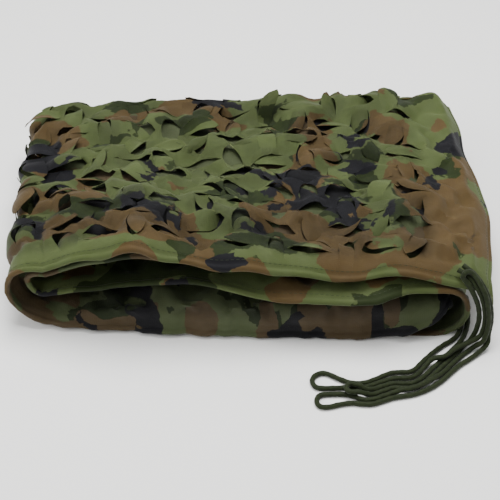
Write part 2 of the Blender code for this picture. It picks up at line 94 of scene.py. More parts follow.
# Heights of the plies along the open side, in mm, as the middle of the cloth. Columns: x, then layer A's
# face and under ply, layer B's under and face ply, and layer C's face ply. Its under ply is on the floor.
LAYER_A, LAYER_B, LAYER_C = (1, 2), (4, 3), (5, None)  # the columns of each layer's face and under ply
FRONT = MM * np.array([
    (-200, 62, 50, 32, 10, 8),
    (-176, 76, 60, 34, 11, 9),
    (-150, 89, 72, 38, 17, 10),
    (-120, 99, 80, 43, 25, 11),
    (-94, 107, 85, 47, 30, 12),
    (-72, 101, 84, 51, 35, 13),
    (-44, 93, 78, 56, 39, 14),
    (5, 88, 74, 55, 40, 15),
    (55, 80, 69, 56, 41, 15),
    (88, 76, 66, 56, 41, 14),
    (121, 83, 72, 61, 43, 13),
    (154, 75, 66, 58, 41, 13),
    (172, 69, 59, 52, 36, 13),
    (210, 62, 50, 46, 32, 13),
])
# The same columns at the back, where the layers lie closer.
BEHIND = MM * np.array([
    (-200, 58, 46, 36, 16, 11),
    (-150, 63, 51, 41, 24, 17),
    (-60, 67, 56, 46, 29, 20),
    (60, 68, 57, 46, 29, 20),
    (150, 65, 53, 43, 28, 19),
    (210, 60, 48, 40, 26, 17),
])
OPEN_Y, CLOSED_Y = -112 * MM, 30 * MM  # the front heights fade to those at the back between these

# How far out the folded net reaches, in mm. Columns: y, then x of the left bend, right bend and loose end.
SIDES = MM * np.array([
    (-130, -204, 184, 201),
    (-90, -208, 184, 209),
    (-45, -209, 183, 213),
    (10, -208, 182, 214),
    (60, -205, 182, 210),
    (100, -203, 181, 210),
    (140, -203, 179, 207),
])
# Where the lengthwise fold starts to turn, in mm. Columns: x, y.
BACK = MM * np.array([(-205, 121), (-150, 127), (-80, 127), (0, 123), (50, 128), (110, 137), (205, 138)])

# How each ply ends along the open side, in mm. Columns: the knot that a place is measured from (0 is the
# start of layer A, 1 the left bend, 2 layer B, 3 the right bend, 4 layer C and 5 its end) and how far past
# it the place is; then, for the face ply and for the under ply, the y where it starts to turn down, the
# length that hangs and the radius of the turn.
EDGE = np.array([
    (0, 0, -124, 24, 20, -126, 9, 12),
    (0, 130, -122, 24, 20, -125, 9, 12),
    (0, 300, -117, 24, 20, -120, 9, 12),
    (1, 0, -108, 20, 18, -112, 8, 12),
    (1, 31, -110, 6, 10, -110, 3, 10),
    (2, 0, -112, 12, 10, -112, 5, 11),
    (2, 60, -121, 29, 10, -112, 4, 11),
    (2, 130, -127, 41, 9, -123, 6, 11),
    (2, 200, -131, 43, 9, -137, 13, 11),
    (2, 285, -135, 44, 9, -143, 15, 11),
    (3, -24, -134, 40, 9, -136, 12, 11),
    (3, 0, -131, 27, 9, -137, 9, 11),
    (3, 14, -128, 9, 9, -139, 4, 11),
    (4, 0, -122, 0, 9, -141, 0, 11),
    (4, 120, -122, 0, 9, -136, 0, 11),
    (5, 0, -112, 0, 9, -116, 0, 11),
])
EDGE = np.column_stack([KNOTS[EDGE[:, 0].astype(int)] + EDGE[:, 1] * MM, EDGE[:, 2:] * MM])

# Troughs and swells of layer A, in mm. Columns: x, y, reach in x, reach in y, height.
CREASES = MM * np.array([
    (-62, -98, 60, 13, -7),
    (40, -80, 55, 18, -3),
    (-130, -20, 45, 40, 3),
    (20, 40, 60, 40, 3),
    (120, -60, 40, 30, 3),
    (90, 90, 60, 22, -3),
    (-70, 85, 50, 20, -3),
    (150, 20, 22, 70, 3),
])
RIPPLE, RIPPLE_PITCH = 1.3 * MM, 47 * MM  # the cloth between the leaves is never quite flat
WAVE_COUNT = 14  # plane waves that make up its uneven ones

# The leaf cuts: each is a slit round a pointed leaf, which stays joined at its root and curls out of its
# hole. They lie in squares, by turns along the cloth and across it.
LEAF_PITCH = 30 * MM
LEAF_LONG, LEAF_WIDE = 34 * MM, 17 * MM
LEAF_STEPS = 9  # points along each side of a leaf
CURL_STEPS = 40  # short straight steps that make up its curl
FOLD_CALM = 22 * MM  # leaves this close to the middle of the lengthwise fold lie flat
BEND_CALM = 16 * MM  # and so do those further than this round the left bend
STANDING = [(392, 270), (184, 272)]  # leaves that stand up, in mm on the flat cloth
LYING = [(287, 273), (407, 242)]  # and leaves that lie in their holes
SLIT_CLEAR = 1.6 * MM  # other points of the flat cloth stay this far from a slit
CALM_LIFT = 2.5 * MM  # how far the tip of a leaf stands off where the cloth is drawn tight

# How close the points of the flat cloth are. The first row that holds a place gives its spacing. Columns:
# from s, to s, from t, to t, spacing.
ZONES = [
    (0, START_B + 12 * MM, 0, PLY + BACK_BEND + 30 * MM, 3.7 * MM),
    (0, LENGTH, PLY - 45 * MM, PLY + BACK_BEND + 45 * MM, 4.6 * MM),
    (START_RIGHT - 30 * MM, START_C + 25 * MM, PLY, WIDTH, 4.6 * MM),
    (START_B, START_RIGHT + 10 * MM, 0, 80 * MM, 4.6 * MM),
    (0, START_C, WIDTH - 80 * MM, WIDTH, 4.6 * MM),
    (START_LEFT - 5 * MM, START_B + 5 * MM, 0, WIDTH, 5 * MM),
    (START_RIGHT - 5 * MM, START_C + 5 * MM, 0, WIDTH, 5 * MM),
    (0, LENGTH, 0, WIDTH, 11 * MM),
]
ROW_GAP = 0.87  # of the spacing, which makes the triangles even
EDGE_LINES = MM * np.array([0, 0.8, 2, 3, 4, 5.2, 6, 7.8, 9.6, 11.5, 13])
EDGE_SPACING = 5 * MM
SETTLE_STEPS, SETTLE_PULL, SETTLE_STIFF = 200, 0.8, 0.03  # how the ruffled cloth is drawn back to its size
# Layer A's under ply lies a gap below the lowest places of its face ply within reach: from y to y across the
# net and from s to s along the cloth, fading in and out between two places at either end.
PRESS_REACH, PRESS_GAP = 8 * MM, 1.5 * MM
PRESSED_Y = (-108 * MM, -75 * MM, 90 * MM, 120 * MM)
PRESSED_S = (45 * MM, 80 * MM, START_LEFT - 50 * MM, START_LEFT - 5 * MM)
SEAM_INSET = 9.6 * MM  # the seam runs on one of the lines beside the edge
WEAVE_PITCH = 1.6 * MM  # real threads lie 0.4 mm apart; drawn coarser, so that the weave shows

# Where the print has a larger patch of one dye than its usual scatter, in mm on the flat cloth. Columns: s,
# t, reach in s, reach in t. The light green clears the other dyes away.
PATCHES = {
    "brown": [
        # the face of layer A, from its left bend to its loose end
        (396, 254, 26, 20), (318, 274, 26, 9), (270, 280, 28, 9), (234, 250, 26, 9), (356, 150, 18, 10),
        (398, 122, 22, 24), (352, 100, 18, 14), (326, 50, 26, 10), (340, 27, 24, 9), (296, 30, 28, 10),
        (252, 38, 26, 9), (184, 124, 10, 14), (120, 92, 18, 22), (182, 74, 22, 16), (214, 88, 16, 14),
        (168, 48, 22, 14), (84, 40, 24, 18), (50, 82, 30, 30), (34, 128, 16, 22), (80, 110, 16, 16),
        (24, 50, 22, 26), (76, 218, 12, 26), (38, 240, 10, 17), (28, 178, 18, 13), (146, 226, 11, 9),
        # its front hem
        (316, 2, 15, 9), (262, 4, 15, 9), (136, 6, 21, 10), (84, 10, 20, 12),
        # the left bend
        (440, 26, 16, 16), (478, 40, 10, 14), (494, 14, 12, 13),
        # the open edges of layer B
        (526, 8, 14, 8), (592, 20, 12, 26), (650, 24, 10, 30), (688, 20, 11, 28), (722, 22, 16, 28),
        (760, 20, 8, 16), (662, 598, 20, 16),
    ],
    "navy_black": [
        # the face of layer A, from its left bend to its loose end
        (400, 205, 16, 26), (378, 156, 16, 14), (198, 150, 18, 12), (164, 148, 14, 22),
        (144, 100, 16, 14), (120, 164, 20, 8), (66, 200, 7, 16), (34, 201, 9, 7), (14, 212, 10, 8),
        (46, 167, 13, 6), (54, 140, 7, 18),
        # its front hem
        (238, 7, 28, 6),
        # the open edges of layer B
        (548, 22, 9, 9), (612, 26, 3, 12), (746, 24, 6, 24), (766, 2, 12, 8),
    ],
    "dark_green": [
        # the face of layer A, from its left bend to its loose end
        (270, 250, 30, 14), (206, 38, 20, 14), (128, 40, 20, 12), (176, 238, 14, 10),
        # the open edges of layer B; at its left end, up to s = 566 mm, this dark green is painted shade as
        # well as print, for the shade under layer A
        (508, 26, 22, 14), (566, 26, 10, 12), (704, 26, 4, 16), (752, 598, 12, 12), (540, 590, 60, 30),
    ],
    "light_green": [
        # the face of layer A, from its left bend to its loose end
        (420, 160, 24, 16), (300, 190, 60, 42), (300, 110, 34, 24), (262, 140, 28, 22), (250, 86, 24, 14),
        (212, 186, 22, 18), (342, 234, 26, 16), (230, 210, 30, 22), (34, 262, 30, 26), (50, 190, 16, 30),
        (190, 276, 26, 20), (152, 264, 24, 16), (172, 206, 16, 14), (110, 272, 26, 14), (12, 26, 14, 18),
        # its front hem
        (370, 4, 34, 18), (292, 4, 14, 12), (190, 5, 17, 9), (114, 4, 9, 8), (42, 3, 26, 10),
        # the left bend
        (428, 60, 16, 18),
        # the open edges of layer B
        (574, 12, 8, 12), (624, 20, 15, 30), (668, 22, 6, 26), (786, 20, 13, 30), (626, 598, 12, 16),
        (708, 598, 26, 16),
    ],
}
# How strongly a patch leans the print towards brown, towards the black branches and towards the dark green.
PATCH_LEANS = {
    "brown": (1, -0.7, 0),
    "navy_black": (0, 1, 0),
    "dark_green": (-0.6, -0.4, 1),
    "light_green": (-0.6, -0.6, -0.6),
}
PATCH_GAIN = 0.24
# How much painted shade darkens the leafy cloth, for the shade that falls among its leaves, how much more lies
# beside the hem of the face ply, and how far leaves differ from it at random
LEAFY_SHADE, HEM_SHADE, LEAF_TONES = 0.24, 0.14, 0.2

# The hem cord, in mm: both of its legs come out of one slit in the hem, over the corner, and its slack lies
# on the floor in six runs side by side. One of its bights lies up between the legs.
CORD = 4.5 * MM
CORD_YARN, THREAD_YARN = 2 * MM, 2 / 3 * MM  # the thread's yarns are drawn coarser, so that they show
CORD_LIES = 2.4  # the height of a point that has none of its own, as the cord lies on the floor
CORD_ROUTE = [
    # the first leg, from the slit over the hem and down on to the other runs
    (173.5, -134.5, 70.0), (179.6, -138.4, 67.8), (186.0, -143.2, 63.2), (192.0, -148.6, 54.0),
    (196.0, -150.4, 42.0), (198.0, -151.6, 29.0), (197.0, -153.2, 18.0), (192.5, -156.5, 12.0),
    (175.9, -163.1, 8.2), (168.3, -169.0, 7.9), (161.7, -173.7, 7.6), (156.5, -174.5, 7.4),
    (151.3, -175.8, 6.2), (145.7, -180.4, 3.4),
    # along the floor to the upper loop and back
    (139.8, -187.3), (134.2, -191.6), (129.1, -192.8), (124.1, -192.9), (118.2, -193.1), (112.2, -195.1),
    (105.3, -197.7), (98.4, -200.7), (90.7, -203.0), (82.5, -202.8), (73.4, -202.7), (64.3, -202.9),
    (56.0, -202.5), (51.7, -200.0), (49.9, -194.2), (52.1, -188.7), (56.7, -185.5), (62.2, -185.7),
    (67.8, -189.1), (74.1, -193.3), (82.1, -197.2), (91.2, -197.8), (98.9, -195.4), (105.9, -191.9),
    (112.0, -188.6), (118.1, -186.4), (124.9, -186.0), (129.9, -186.0), (135.1, -184.3), (139.8, -179.7),
    (144.8, -173.7), (154.6, -163.4), (164.2, -154.9), (173.8, -147.8), (180.1, -139.2), (183.7, -126.7),
    (186.2, -112.7),
    # round the left bight under the loose end
    (183.0, -103.5), (181.7, -96.5), (183.3, -92.5), (187.3, -90.9), (191.3, -92.5), (192.9, -96.5),
    (191.9, -103.5), (191.7, -112.8), (189.4, -126.9), (185.5, -139.4), (179.3, -151.1),
    # to the short bight, whose end lies over the other runs, and back
    (170.1, -161.9), (162.0, -171.3), (152.2, -181.7), (142.5, -192.3), (133.4, -198.7), (125.0, -199.3),
    (116.8, -199.0), (108.2, -201.7), (99.6, -205.5, 3.0), (92.8, -206.9, 4.8), (88.1, -205.0, 7.4),
    (82.4, -203.4, 7.7), (79.4, -204.1, 7.7), (77.2, -206.3, 7.7), (77.0, -209.5, 7.7),
    (78.7, -211.8, 7.7), (81.6, -212.7, 7.7), (87.4, -212.7, 7.4), (92.4, -212.2, 5.0),
    (99.0, -211.0, 2.6), (107.6, -207.4), (116.2, -204.2), (124.5, -204.5), (132.7, -204.7),
    (141.5, -200.1), (151.1, -190.4), (160.9, -179.6), (168.9, -170.5), (177.0, -161.4), (182.9, -154.4),
    # up beside the first leg and over it, and down between the two legs
    (187.6, -151.6, 5.0), (190.8, -150.6, 11.5), (192.6, -150.3, 20.0), (193.0, -150.3, 30.0),
    (191.0, -149.8, 42.0), (186.6, -148.6, 53.4), (181.3, -145.2, 62.2), (178.0, -143.3, 66.2),
    (176.5, -143.1, 69.3), (177.4, -142.4, 71.8), (179.7, -141.0, 73.0), (183.1, -140.6, 71.9),
    (185.8, -141.4, 69.7), (189.4, -145.3, 66.2), (195.6, -151.9, 55.5), (198.8, -155.0, 42.0),
    (200.3, -156.3, 28.5), (199.0, -158.0, 17.5), (196.3, -160.2, 11.0), (191.4, -159.4, 6.0),
    (186.6, -160.8, 2.8),
    # to the lower loop and back
    (177.2, -168.9), (167.7, -178.9), (159.8, -188.0, 2.8), (150.2, -197.2, 5.4), (141.1, -203.6, 6.3),
    (132.4, -207.7, 6.3), (124.0, -208.7, 5.4), (115.6, -209.9, 2.8), (107.1, -213.1), (98.5, -216.5),
    (90.3, -216.6), (81.7, -212.1), (72.8, -210.0), (63.8, -209.8), (57.6, -210.0), (53.8, -212.2),
    (52.2, -216.7), (53.2, -221.4), (56.7, -224.0), (62.8, -223.7), (71.9, -221.3), (81.0, -220.2),
    (89.9, -221.7), (98.0, -221.7), (106.5, -218.6), (115.0, -215.3), (123.4, -213.7), (131.9, -212.0),
    (140.5, -208.6), (149.4, -203.4), (158.7, -195.8), (166.5, -187.6), (175.3, -178.9), (183.9, -172.4),
    (192.8, -165.2, 3.0),
    # the second leg, back up to the slit
    (200.6, -159.2, 7.5), (202.0, -154.0, 15.5), (203.0, -152.5, 27.0), (201.5, -151.0, 41.0),
    (197.5, -147.5, 54.0), (191.5, -141.8, 63.2), (185.5, -135.5, 67.6), (178.5, -129.5, 70.2),
]
CORD_ROUTE = MM * np.array([(*place, CORD_LIES)[:3] for place in CORD_ROUTE])


def smooth_table(x, rows, column):
    """A column of a table against its first column, joined by a smooth curve."""
    xs, zs = rows[:, 0], rows[:, column]
    slopes = np.gradient(zs, xs)
    i = np.clip(np.searchsorted(xs, x) - 1, 0, len(xs) - 2)
    step = xs[i + 1] - xs[i]
    u = np.clip((x - xs[i]) / step, 0, 1)
    rise = (3 - 2 * u) * u * u
    bow = step * u * (1 - u) * ((1 - u) * slopes[i] - u * slopes[i + 1])
    return zs[i] * (1 - rise) + zs[i + 1] * rise + bow


def smooth_step(x, start, end):
    """0 up to start, 1 from end on, and a soft rise between them."""
    u = np.clip((x - start) / (end - start), 0, 1)
    return u * u * (3 - 2 * u)


def plateau(x, rises, full, falls, ends):
    """1 between full and falls, fading to 0 at rises and at ends."""
    return smooth_step(x, rises, full) * (1 - smooth_step(x, falls, ends))


def between(x, xs, rows):
    """The rows that belong to the places x, where rows belong to the places xs."""
    return np.stack([np.interp(x, xs, column) for column in rows.T], -1)


def run_up(steps):
    """How far along one is at the start and after each step."""
    return np.concatenate([[0], np.cumsum(steps)])


def sides_of(faces):
    """The three sides of each triangle, as pairs of points."""
    return np.concatenate([faces[:, [0, 1]], faces[:, [1, 2]], faces[:, [2, 0]]])


def height(x, y, layer, under):
    """The height of a layer's face ply, or of its under ply where under is true."""
    back = smooth_step(y, OPEN_Y, CLOSED_Y)

    def of(column):
        if column is None:
            return np.full_like(x, FLOOR_LIFT)
        return (1 - back) * smooth_table(x, FRONT, column) + back * smooth_table(x, BEHIND, column)

    return np.where(under, of(layer[1]), of(layer[0]))


def turned(u, radius):
    """How far out and how far down a cloth has gone, u after it starts to turn down."""
    angle = np.minimum(u / radius, math.pi / 2)
    rest = np.maximum(u - radius * math.pi / 2, 0)
    return radius * np.sin(angle), radius * (1 - np.cos(angle)) + rest


def layer_share(s, k):
    """How far along layer or bend k the place s is, from 0 to 1."""
    return np.clip((s - KNOTS[k]) / (KNOTS[k + 1] - KNOTS[k]), 0, 1)


def parts_before_c(s):
    """Whether s has not passed layer A, its bend, layer B and its bend: the first that is true holds it."""
    return [s <= START_LEFT, s <= START_B, s <= START_RIGHT, s <= START_C]


def ply_point(s, y, under):
    """x and z of a ply of the doubled cloth, at s along it, without what hangs at its open edge."""
    left_out, right_out, end_out = (smooth_table(y, SIDES, k) for k in (1, 2, 3))
    end_x = end_out - END_RADIUS
    by_left, by_right = left_out + BY_LEFT, right_out - BY_RIGHT
    top, low = height(by_left, y, LAYER_A, under), height(by_left, y, LAYER_B, under)
    left_x = left_out + (height(by_left, y, LAYER_A, False) - height(by_left, y, LAYER_B, False)) / 2
    high, bottom = height(by_right, y, LAYER_B, under), height(by_right, y, LAYER_C, under)
    right_x = right_out - (height(by_right, y, LAYER_B, True) - FLOOR_LIFT) / 2

    roll = np.maximum(END_ROLL - s, 0) * np.where(under, UNDER_ROLL, 1.0)
    out, down = turned(roll, np.where(under, UNDER_RADIUS, 1.0) * END_RADIUS)
    share_a = np.clip((s - END_ROLL) / (LENGTH_A - END_ROLL), 0, 1)
    x_a = end_x + share_a * (left_x - end_x)
    x_b = left_x + layer_share(s, 2) * (right_x - left_x)
    x_c = right_x + layer_share(s, 4) * (INNER_END_X - right_x)
    left, right = layer_share(s, 1) * math.pi, layer_share(s, 3) * math.pi
    places = parts_before_c(s)
    x_left = left_x - np.sin(left) * (top - low) / 2
    x_right = right_x + np.sin(right) * (high - bottom) / 2
    x = np.select(places, [x_a + out, x_left, x_b, x_right], x_c)
    z_left = (top + low) / 2 + np.cos(left) * (top - low) / 2
    z_right = (high + bottom) / 2 + np.cos(right) * (high - bottom) / 2
    z_a, z_b, z_c = (height(*at, under) for at in ((x_a, y, LAYER_A), (x_b, y, LAYER_B), (x_c, y, LAYER_C)))
    # The layers meet their bends without a step.
    z_a += (top - height(left_x, y, LAYER_A, under)) * share_a
    z_b += (low - height(left_x, y, LAYER_B, under)) * (1 - layer_share(s, 2))
    z_b += (high - height(right_x, y, LAYER_B, under)) * layer_share(s, 2)
    z_c += (bottom - height(right_x, y, LAYER_C, under)) * (1 - layer_share(s, 4))
    return x, np.select(places, [z_a - down, z_left, z_b, z_right], z_c)


def nominal_x(s):
    """Roughly where s lies along the folded net, for tables that go by x."""
    x_a, x_b, x_c = NOMINAL_END + END_ROLL - s, NOMINAL_LEFT + s - START_B, NOMINAL_RIGHT - (s - START_C)
    return np.select(parts_before_c(s), [x_a, NOMINAL_LEFT, x_b, NOMINAL_RIGHT], x_c)


def fold(s, t):
    """Where the points s, t of the flat cloth lie once it is folded."""
    under = t > WIDTH / 2
    from_hem = np.minimum(t, WIDTH - t)
    turn_y, hangs, radius = (
        np.where(under, np.interp(s, EDGE[:, 0], EDGE[:, 3 + k]), np.interp(s, EDGE[:, 0], EDGE[:, k]))
        for k in (1, 2, 3)
    )
    back_y = smooth_table(nominal_x(s), BACK, 1)
    along = np.minimum(from_hem / PLY, 1) * (hangs + back_y - turn_y) - hangs
    y = turn_y + np.maximum(along, 0)
    out, down = turned(np.maximum(-along, 0), radius)
    x, z = ply_point(s, y, under)
    points = np.stack([x, y - out, z - down], -1)
    # The lengthwise fold is half a turn from the face ply to the under ply.
    turn = np.clip((t - PLY) / BACK_BEND, 0, 1) * math.pi
    face, other = (np.stack(ply_point(s, back_y, np.full(s.shape, side)), -1) for side in (False, True))
    middle, half = (face + other) / 2, (face - other) / 2
    around = middle + half * np.cos(turn)[..., None]
    behind = back_y + np.linalg.norm(half, axis=-1) * np.sin(turn)
    at_back = (t > PLY) & (t < WIDTH - PLY)
    points[at_back] = np.stack([around[..., 0], behind, around[..., 1]], -1)[at_back]
    points[..., 2] += swells(points, s, under)
    return points


def outward(s, t):
    """The direction that faces out of the folded cloth at the points s, t."""
    ahead = fold(s + 0.5 * MM, t) - fold(s - 0.5 * MM, t)
    across = fold(s, t + 0.5 * MM) - fold(s, t - 0.5 * MM)
    out = np.cross(across, ahead)
    return out / np.linalg.norm(out, axis=-1)[..., None]


def swells(points, s, under):
    """The soft troughs, swells and ripples of layer A."""
    x, y = points[..., 0], points[..., 1]
    lift = RIPPLE * np.sin(x * math.tau / RIPPLE_PITCH + 2) * np.cos(y * math.tau / RIPPLE_PITCH + x * 9)
    for at_x, at_y, reach_x, reach_y, rise in CREASES:
        lift += rise * np.exp(-(((x - at_x) / reach_x) ** 2) - ((y - at_y) / reach_y) ** 2)
    lift *= plateau(s, 0, 40 * MM, START_LEFT - 30 * MM, START_LEFT)
    return np.where(under, 0.5 * lift, lift)


def to_linear(code):
    """The linear colour of an sRGB hex value."""
    shares = [int(code[k : k + 2], 16) / 255 for k in (0, 2, 4)]
    return [c / 12.92 if c <= 0.04045 else ((c + 0.055) / 1.055) ** 2.4 for c in shares]


def waves(s, t, reach, seed):
    """Smooth uneven waves of about unit height, reach apart: plane waves in many directions, added up."""
    random = np.random.default_rng(seed)
    total = np.zeros_like(s)
    for share in np.linspace(0.7, 1.8, WAVE_COUNT):
        angle, phase = random.uniform(0, math.tau, 2)
        total += np.sin((s * math.cos(angle) + t * math.sin(angle)) * math.tau / (reach * share) + phase)
    return total / math.sqrt(WAVE_COUNT / 2)


def edge_distance(flat):
    """How far the points of the flat cloth are from its nearest edge."""
    return np.minimum.reduce([flat[:, 0], LENGTH - flat[:, 0], flat[:, 1], WIDTH - flat[:, 1]])


def looseness(flat):
    """How freely the points of the cloth can crease: not at the hem, little at the bends, fully elsewhere."""
    s, t = flat.T
    off_hem = smooth_step(edge_distance(flat), 12 * MM, 30 * MM)
    off_fold = 0.15 + 0.85 * smooth_step(np.abs(t - WIDTH / 2), 18 * MM, 40 * MM)
    off_bend = 1 - 0.7 * smooth_step(s, START_LEFT + 5 * MM, START_LEFT + 30 * MM) * (s < PAST_LEFT)
    return off_hem * off_fold * off_bend * (s < START_C)


def leafy(s, t):
    """Where leaves show: on the face of layer A and its bend, at the lengthwise fold and on the right bend."""
    if t < SIDE_BORDER or t > WIDTH - SIDE_BORDER or s < END_BORDER or s > LENGTH - END_BORDER:
        return False
    on_face = s < PAST_LEFT and t < WIDTH / 2
    at_bend_hem = s > START_LEFT + 5 * MM and t < 50 * MM
    at_back = abs(t - WIDTH / 2) < 16 * MM
    on_right_bend = START_RIGHT - 22 * MM < s < START_C + 16 * MM and PLY < t < WIDTH - 70 * MM
    return (on_face and not at_bend_hem) or at_back or on_right_bend


def leaf_half_width(share):
    """Half the width of a leaf, as a share of its width, at a share of its length from the root."""
    return 0.56 * (1 - share**2.6) ** 0.75 * (0.66 + 0.7 * share)


def plan_leaves(sizes):
    """The leaves of the flat cloth, with the random draws that shape each of them."""
    random = np.random.default_rng(sizes.seed)
    leaves = []
    for column in range(int((LENGTH - 2 * END_BORDER) / LEAF_PITCH)):
        for row in range(int((WIDTH - 2 * SIDE_BORDER) / LEAF_PITCH)):
            draws = random.uniform(-1, 1, 14)
            middle = np.array([END_BORDER, SIDE_BORDER]) + np.array([column + 0.5, row + 0.5]) * LEAF_PITCH
            if not leafy(*middle):
                continue
            quarter = (column + row) % 2 + (2 if draws[0] > 0 else 0)
            angle = quarter * math.pi / 2 + 0.22 * draws[1]
            across = np.array([math.cos(angle), math.sin(angle)])
            inwards = np.array([-across[1], across[0]])
            long = sizes.leaf_long * (1 + 0.08 * draws[2])
            wide = sizes.leaf_wide * (1 + 0.2 * draws[3])
            root = middle + 1.2 * MM * draws[4:6] - inwards * long / 2
            leaf = {"root": root, "across": across, "inwards": inwards, "long": long, "wide": wide}
            # Where layer A bends, it is drawn tight, so the leaves lie in their holes.
            at_fold = abs(middle[1] - WIDTH / 2) < FOLD_CALM or middle[0] > START_LEFT + BEND_CALM
            leaf["calm"] = at_fold and middle[0] < PAST_LEFT
            leaves.append(leaf | {"draws": draws[6:], "stands": False})
    for s, t, lie in [(*place, "stands") for place in STANDING] + [(*place, "calm") for place in LYING]:
        middles = np.array([leaf["root"] + leaf["inwards"] * leaf["long"] / 2 for leaf in leaves])
        leaves[int(np.argmin(np.hypot(*(middles - (s * MM, t * MM)).T)))][lie] = True
    return leaves


def leaf_points(leaf):
    """The outline of a leaf in the flat cloth, from one side of its root round the tip to the other, the
    points between them along the root, and those inside the leaf."""
    shares = np.linspace(0, 1, LEAF_STEPS + 1)
    halves = leaf_half_width(shares) * leaf["wide"]
    hook = 0.3 * leaf["wide"] * leaf["draws"][0] * shares**2

    def place(across, share):
        return leaf["root"] + leaf["across"] * across + leaf["inwards"] * share * leaf["long"]

    left = [place(o - h, v) for h, o, v in zip(halves, hook, shares)]
    right = [place(o + h, v) for h, o, v in zip(halves, hook, shares)]
    inner = []
    for half, offset, share in zip(halves, hook, shares):
        count = int(round(2 * half / (3.4 * MM)))
        inner.append([place(offset + half * (2 * k / count - 1), share) for k in range(1, count)])
    return left + right[-2::-1], inner[0], [p for row in inner[1:-1] for p in row]


def inside(points, outline):
    """Which points lie inside a closed outline."""
    crossed = np.zeros(len(points), bool)
    for (x0, y0), (x1, y1) in zip(outline, np.roll(outline, -1, axis=0)):
        if y0 == y1:
            continue
        spans = (y0 > points[:, 1]) != (y1 > points[:, 1])
        crossed ^= spans & (points[:, 0] < x0 + (points[:, 1] - y0) * (x1 - x0) / (y1 - y0))
    return crossed


def zone_points():
    """Points over the flat cloth, in rows set off from each other, as close as their zone asks."""
    taken, points = [], []
    for s0, s1, t0, t1, spacing in ZONES:
        rows = int((t1 - t0) / (spacing * ROW_GAP)) + 1
        columns = int((s1 - s0) / spacing) + 1
        k, j = np.meshgrid(np.arange(columns), np.arange(rows))
        grid = np.stack([s0 + (k + 0.5 * (j % 2)) * spacing, t0 + j * spacing * ROW_GAP], -1).reshape(-1, 2)
        keep = (grid[:, 0] < s1) & (grid[:, 1] < t1) & (edge_distance(grid) > EDGE_LINES[-1] + 0.4 * spacing)
        for a0, a1, b0, b1 in taken:
            keep &= ~((grid[:, 0] >= a0) & (grid[:, 0] < a1) & (grid[:, 1] >= b0) & (grid[:, 1] < b1))
        taken.append((s0, s1, t0, t1))
        points.append(grid[keep])
    return np.concatenate(points)


def edge_points():
    """Points on lines beside the four edges of the flat cloth, which give the hem its form."""
    points = []
    for inset in EDGE_LINES:
        for run, (length, other) in enumerate(((LENGTH, WIDTH), (WIDTH, LENGTH))):
            steps = np.linspace(0, length, int(length / EDGE_SPACING))
            off_ends = np.minimum(steps, length - steps) > inset + 0.4 * EDGE_SPACING
            along = np.concatenate([[inset], steps[off_ends], [length - inset]])
            for place in (inset, other - inset):
                line = np.stack([along, np.full_like(along, place)], -1)
                points.append(line if run == 0 else line[:, ::-1])
    return np.unique(np.round(np.concatenate(points), 7), axis=0)


def cut_cloth(leaves):
    """The flat cloth, slit round each leaf: its points and its triangles. Each leaf gets the points of its
    root and, as free, those that can lift out of the cloth."""
    outside = zone_points()
    outlines = [leaf_points(leaf) for leaf in leaves]
    for leaf, (outline, _, _) in zip(leaves, outlines):
        near = np.nonzero(np.linalg.norm(outside - np.mean(outline, 0), axis=1) < LEAF_LONG)[0]
        gaps = np.linalg.norm(outside[near, None] - np.array(outline), axis=2).min(1)
        outside = np.delete(outside, near[(gaps < SLIT_CLEAR) | inside(outside[near], outline)], axis=0)
    points = [tuple(p) for p in np.concatenate([outside, edge_points()])]
    edges, groups = [], []
    for outline, root, inner in outlines:
        ids = len(points) + np.arange(len(outline) + len(root) + len(inner))
        points += [tuple(p) for p in outline + root + inner]
        slit, hinge = ids[: len(outline)], ids[len(outline) : len(outline) + len(root)]
        closed = [slit[0], *hinge, slit[-1]]
        edges += [(int(a), int(b)) for line in (slit, closed) for a, b in zip(line, line[1:])]
        groups.append((slit, np.array(closed), ids[len(outline) + len(root) :]))
    vertices, _, faces, found, _, _ = delaunay_2d_cdt([Vector(p) for p in points], edges, [], 0, 1e-8)
    flat = np.array([tuple(v) for v in vertices])
    faces = np.array([tuple(f) for f in faces if len(f) == 3])
    place = np.zeros(len(points), int)
    for new, olds in enumerate(found):
        place[list(olds)] = new
    middles = flat[faces].mean(1)
    for leaf, (outline, _, _), (slit, root, inner) in zip(leaves, outlines, groups):
        near = np.nonzero(np.linalg.norm(middles - np.mean(outline, 0), axis=1) < LEAF_LONG)[0]
        own = near[inside(middles[near], outline)]
        freed = place[slit[1:-1]]
        copies = np.arange(len(flat), len(flat) + len(freed))
        swap = np.arange(len(flat))
        swap[freed] = copies
        faces[own] = swap[faces[own]]
        flat = np.concatenate([flat, flat[freed]])
        leaf["root_points"], leaf["slit"], leaf["copies"] = place[root], freed, copies
        leaf["free"] = np.concatenate([copies, place[inner]])
    return flat, faces


def point_normals(points, faces):
    """The outward direction at each point: the outer side of the folded cloth."""
    a, b, c = (points[faces[:, k]] for k in range(3))
    normals = np.zeros_like(points)
    for k in range(3):
        np.add.at(normals, faces[:, k], np.cross(c - a, b - a))
    return normals / np.maximum(np.linalg.norm(normals, axis=1), 1e-12)[:, None]


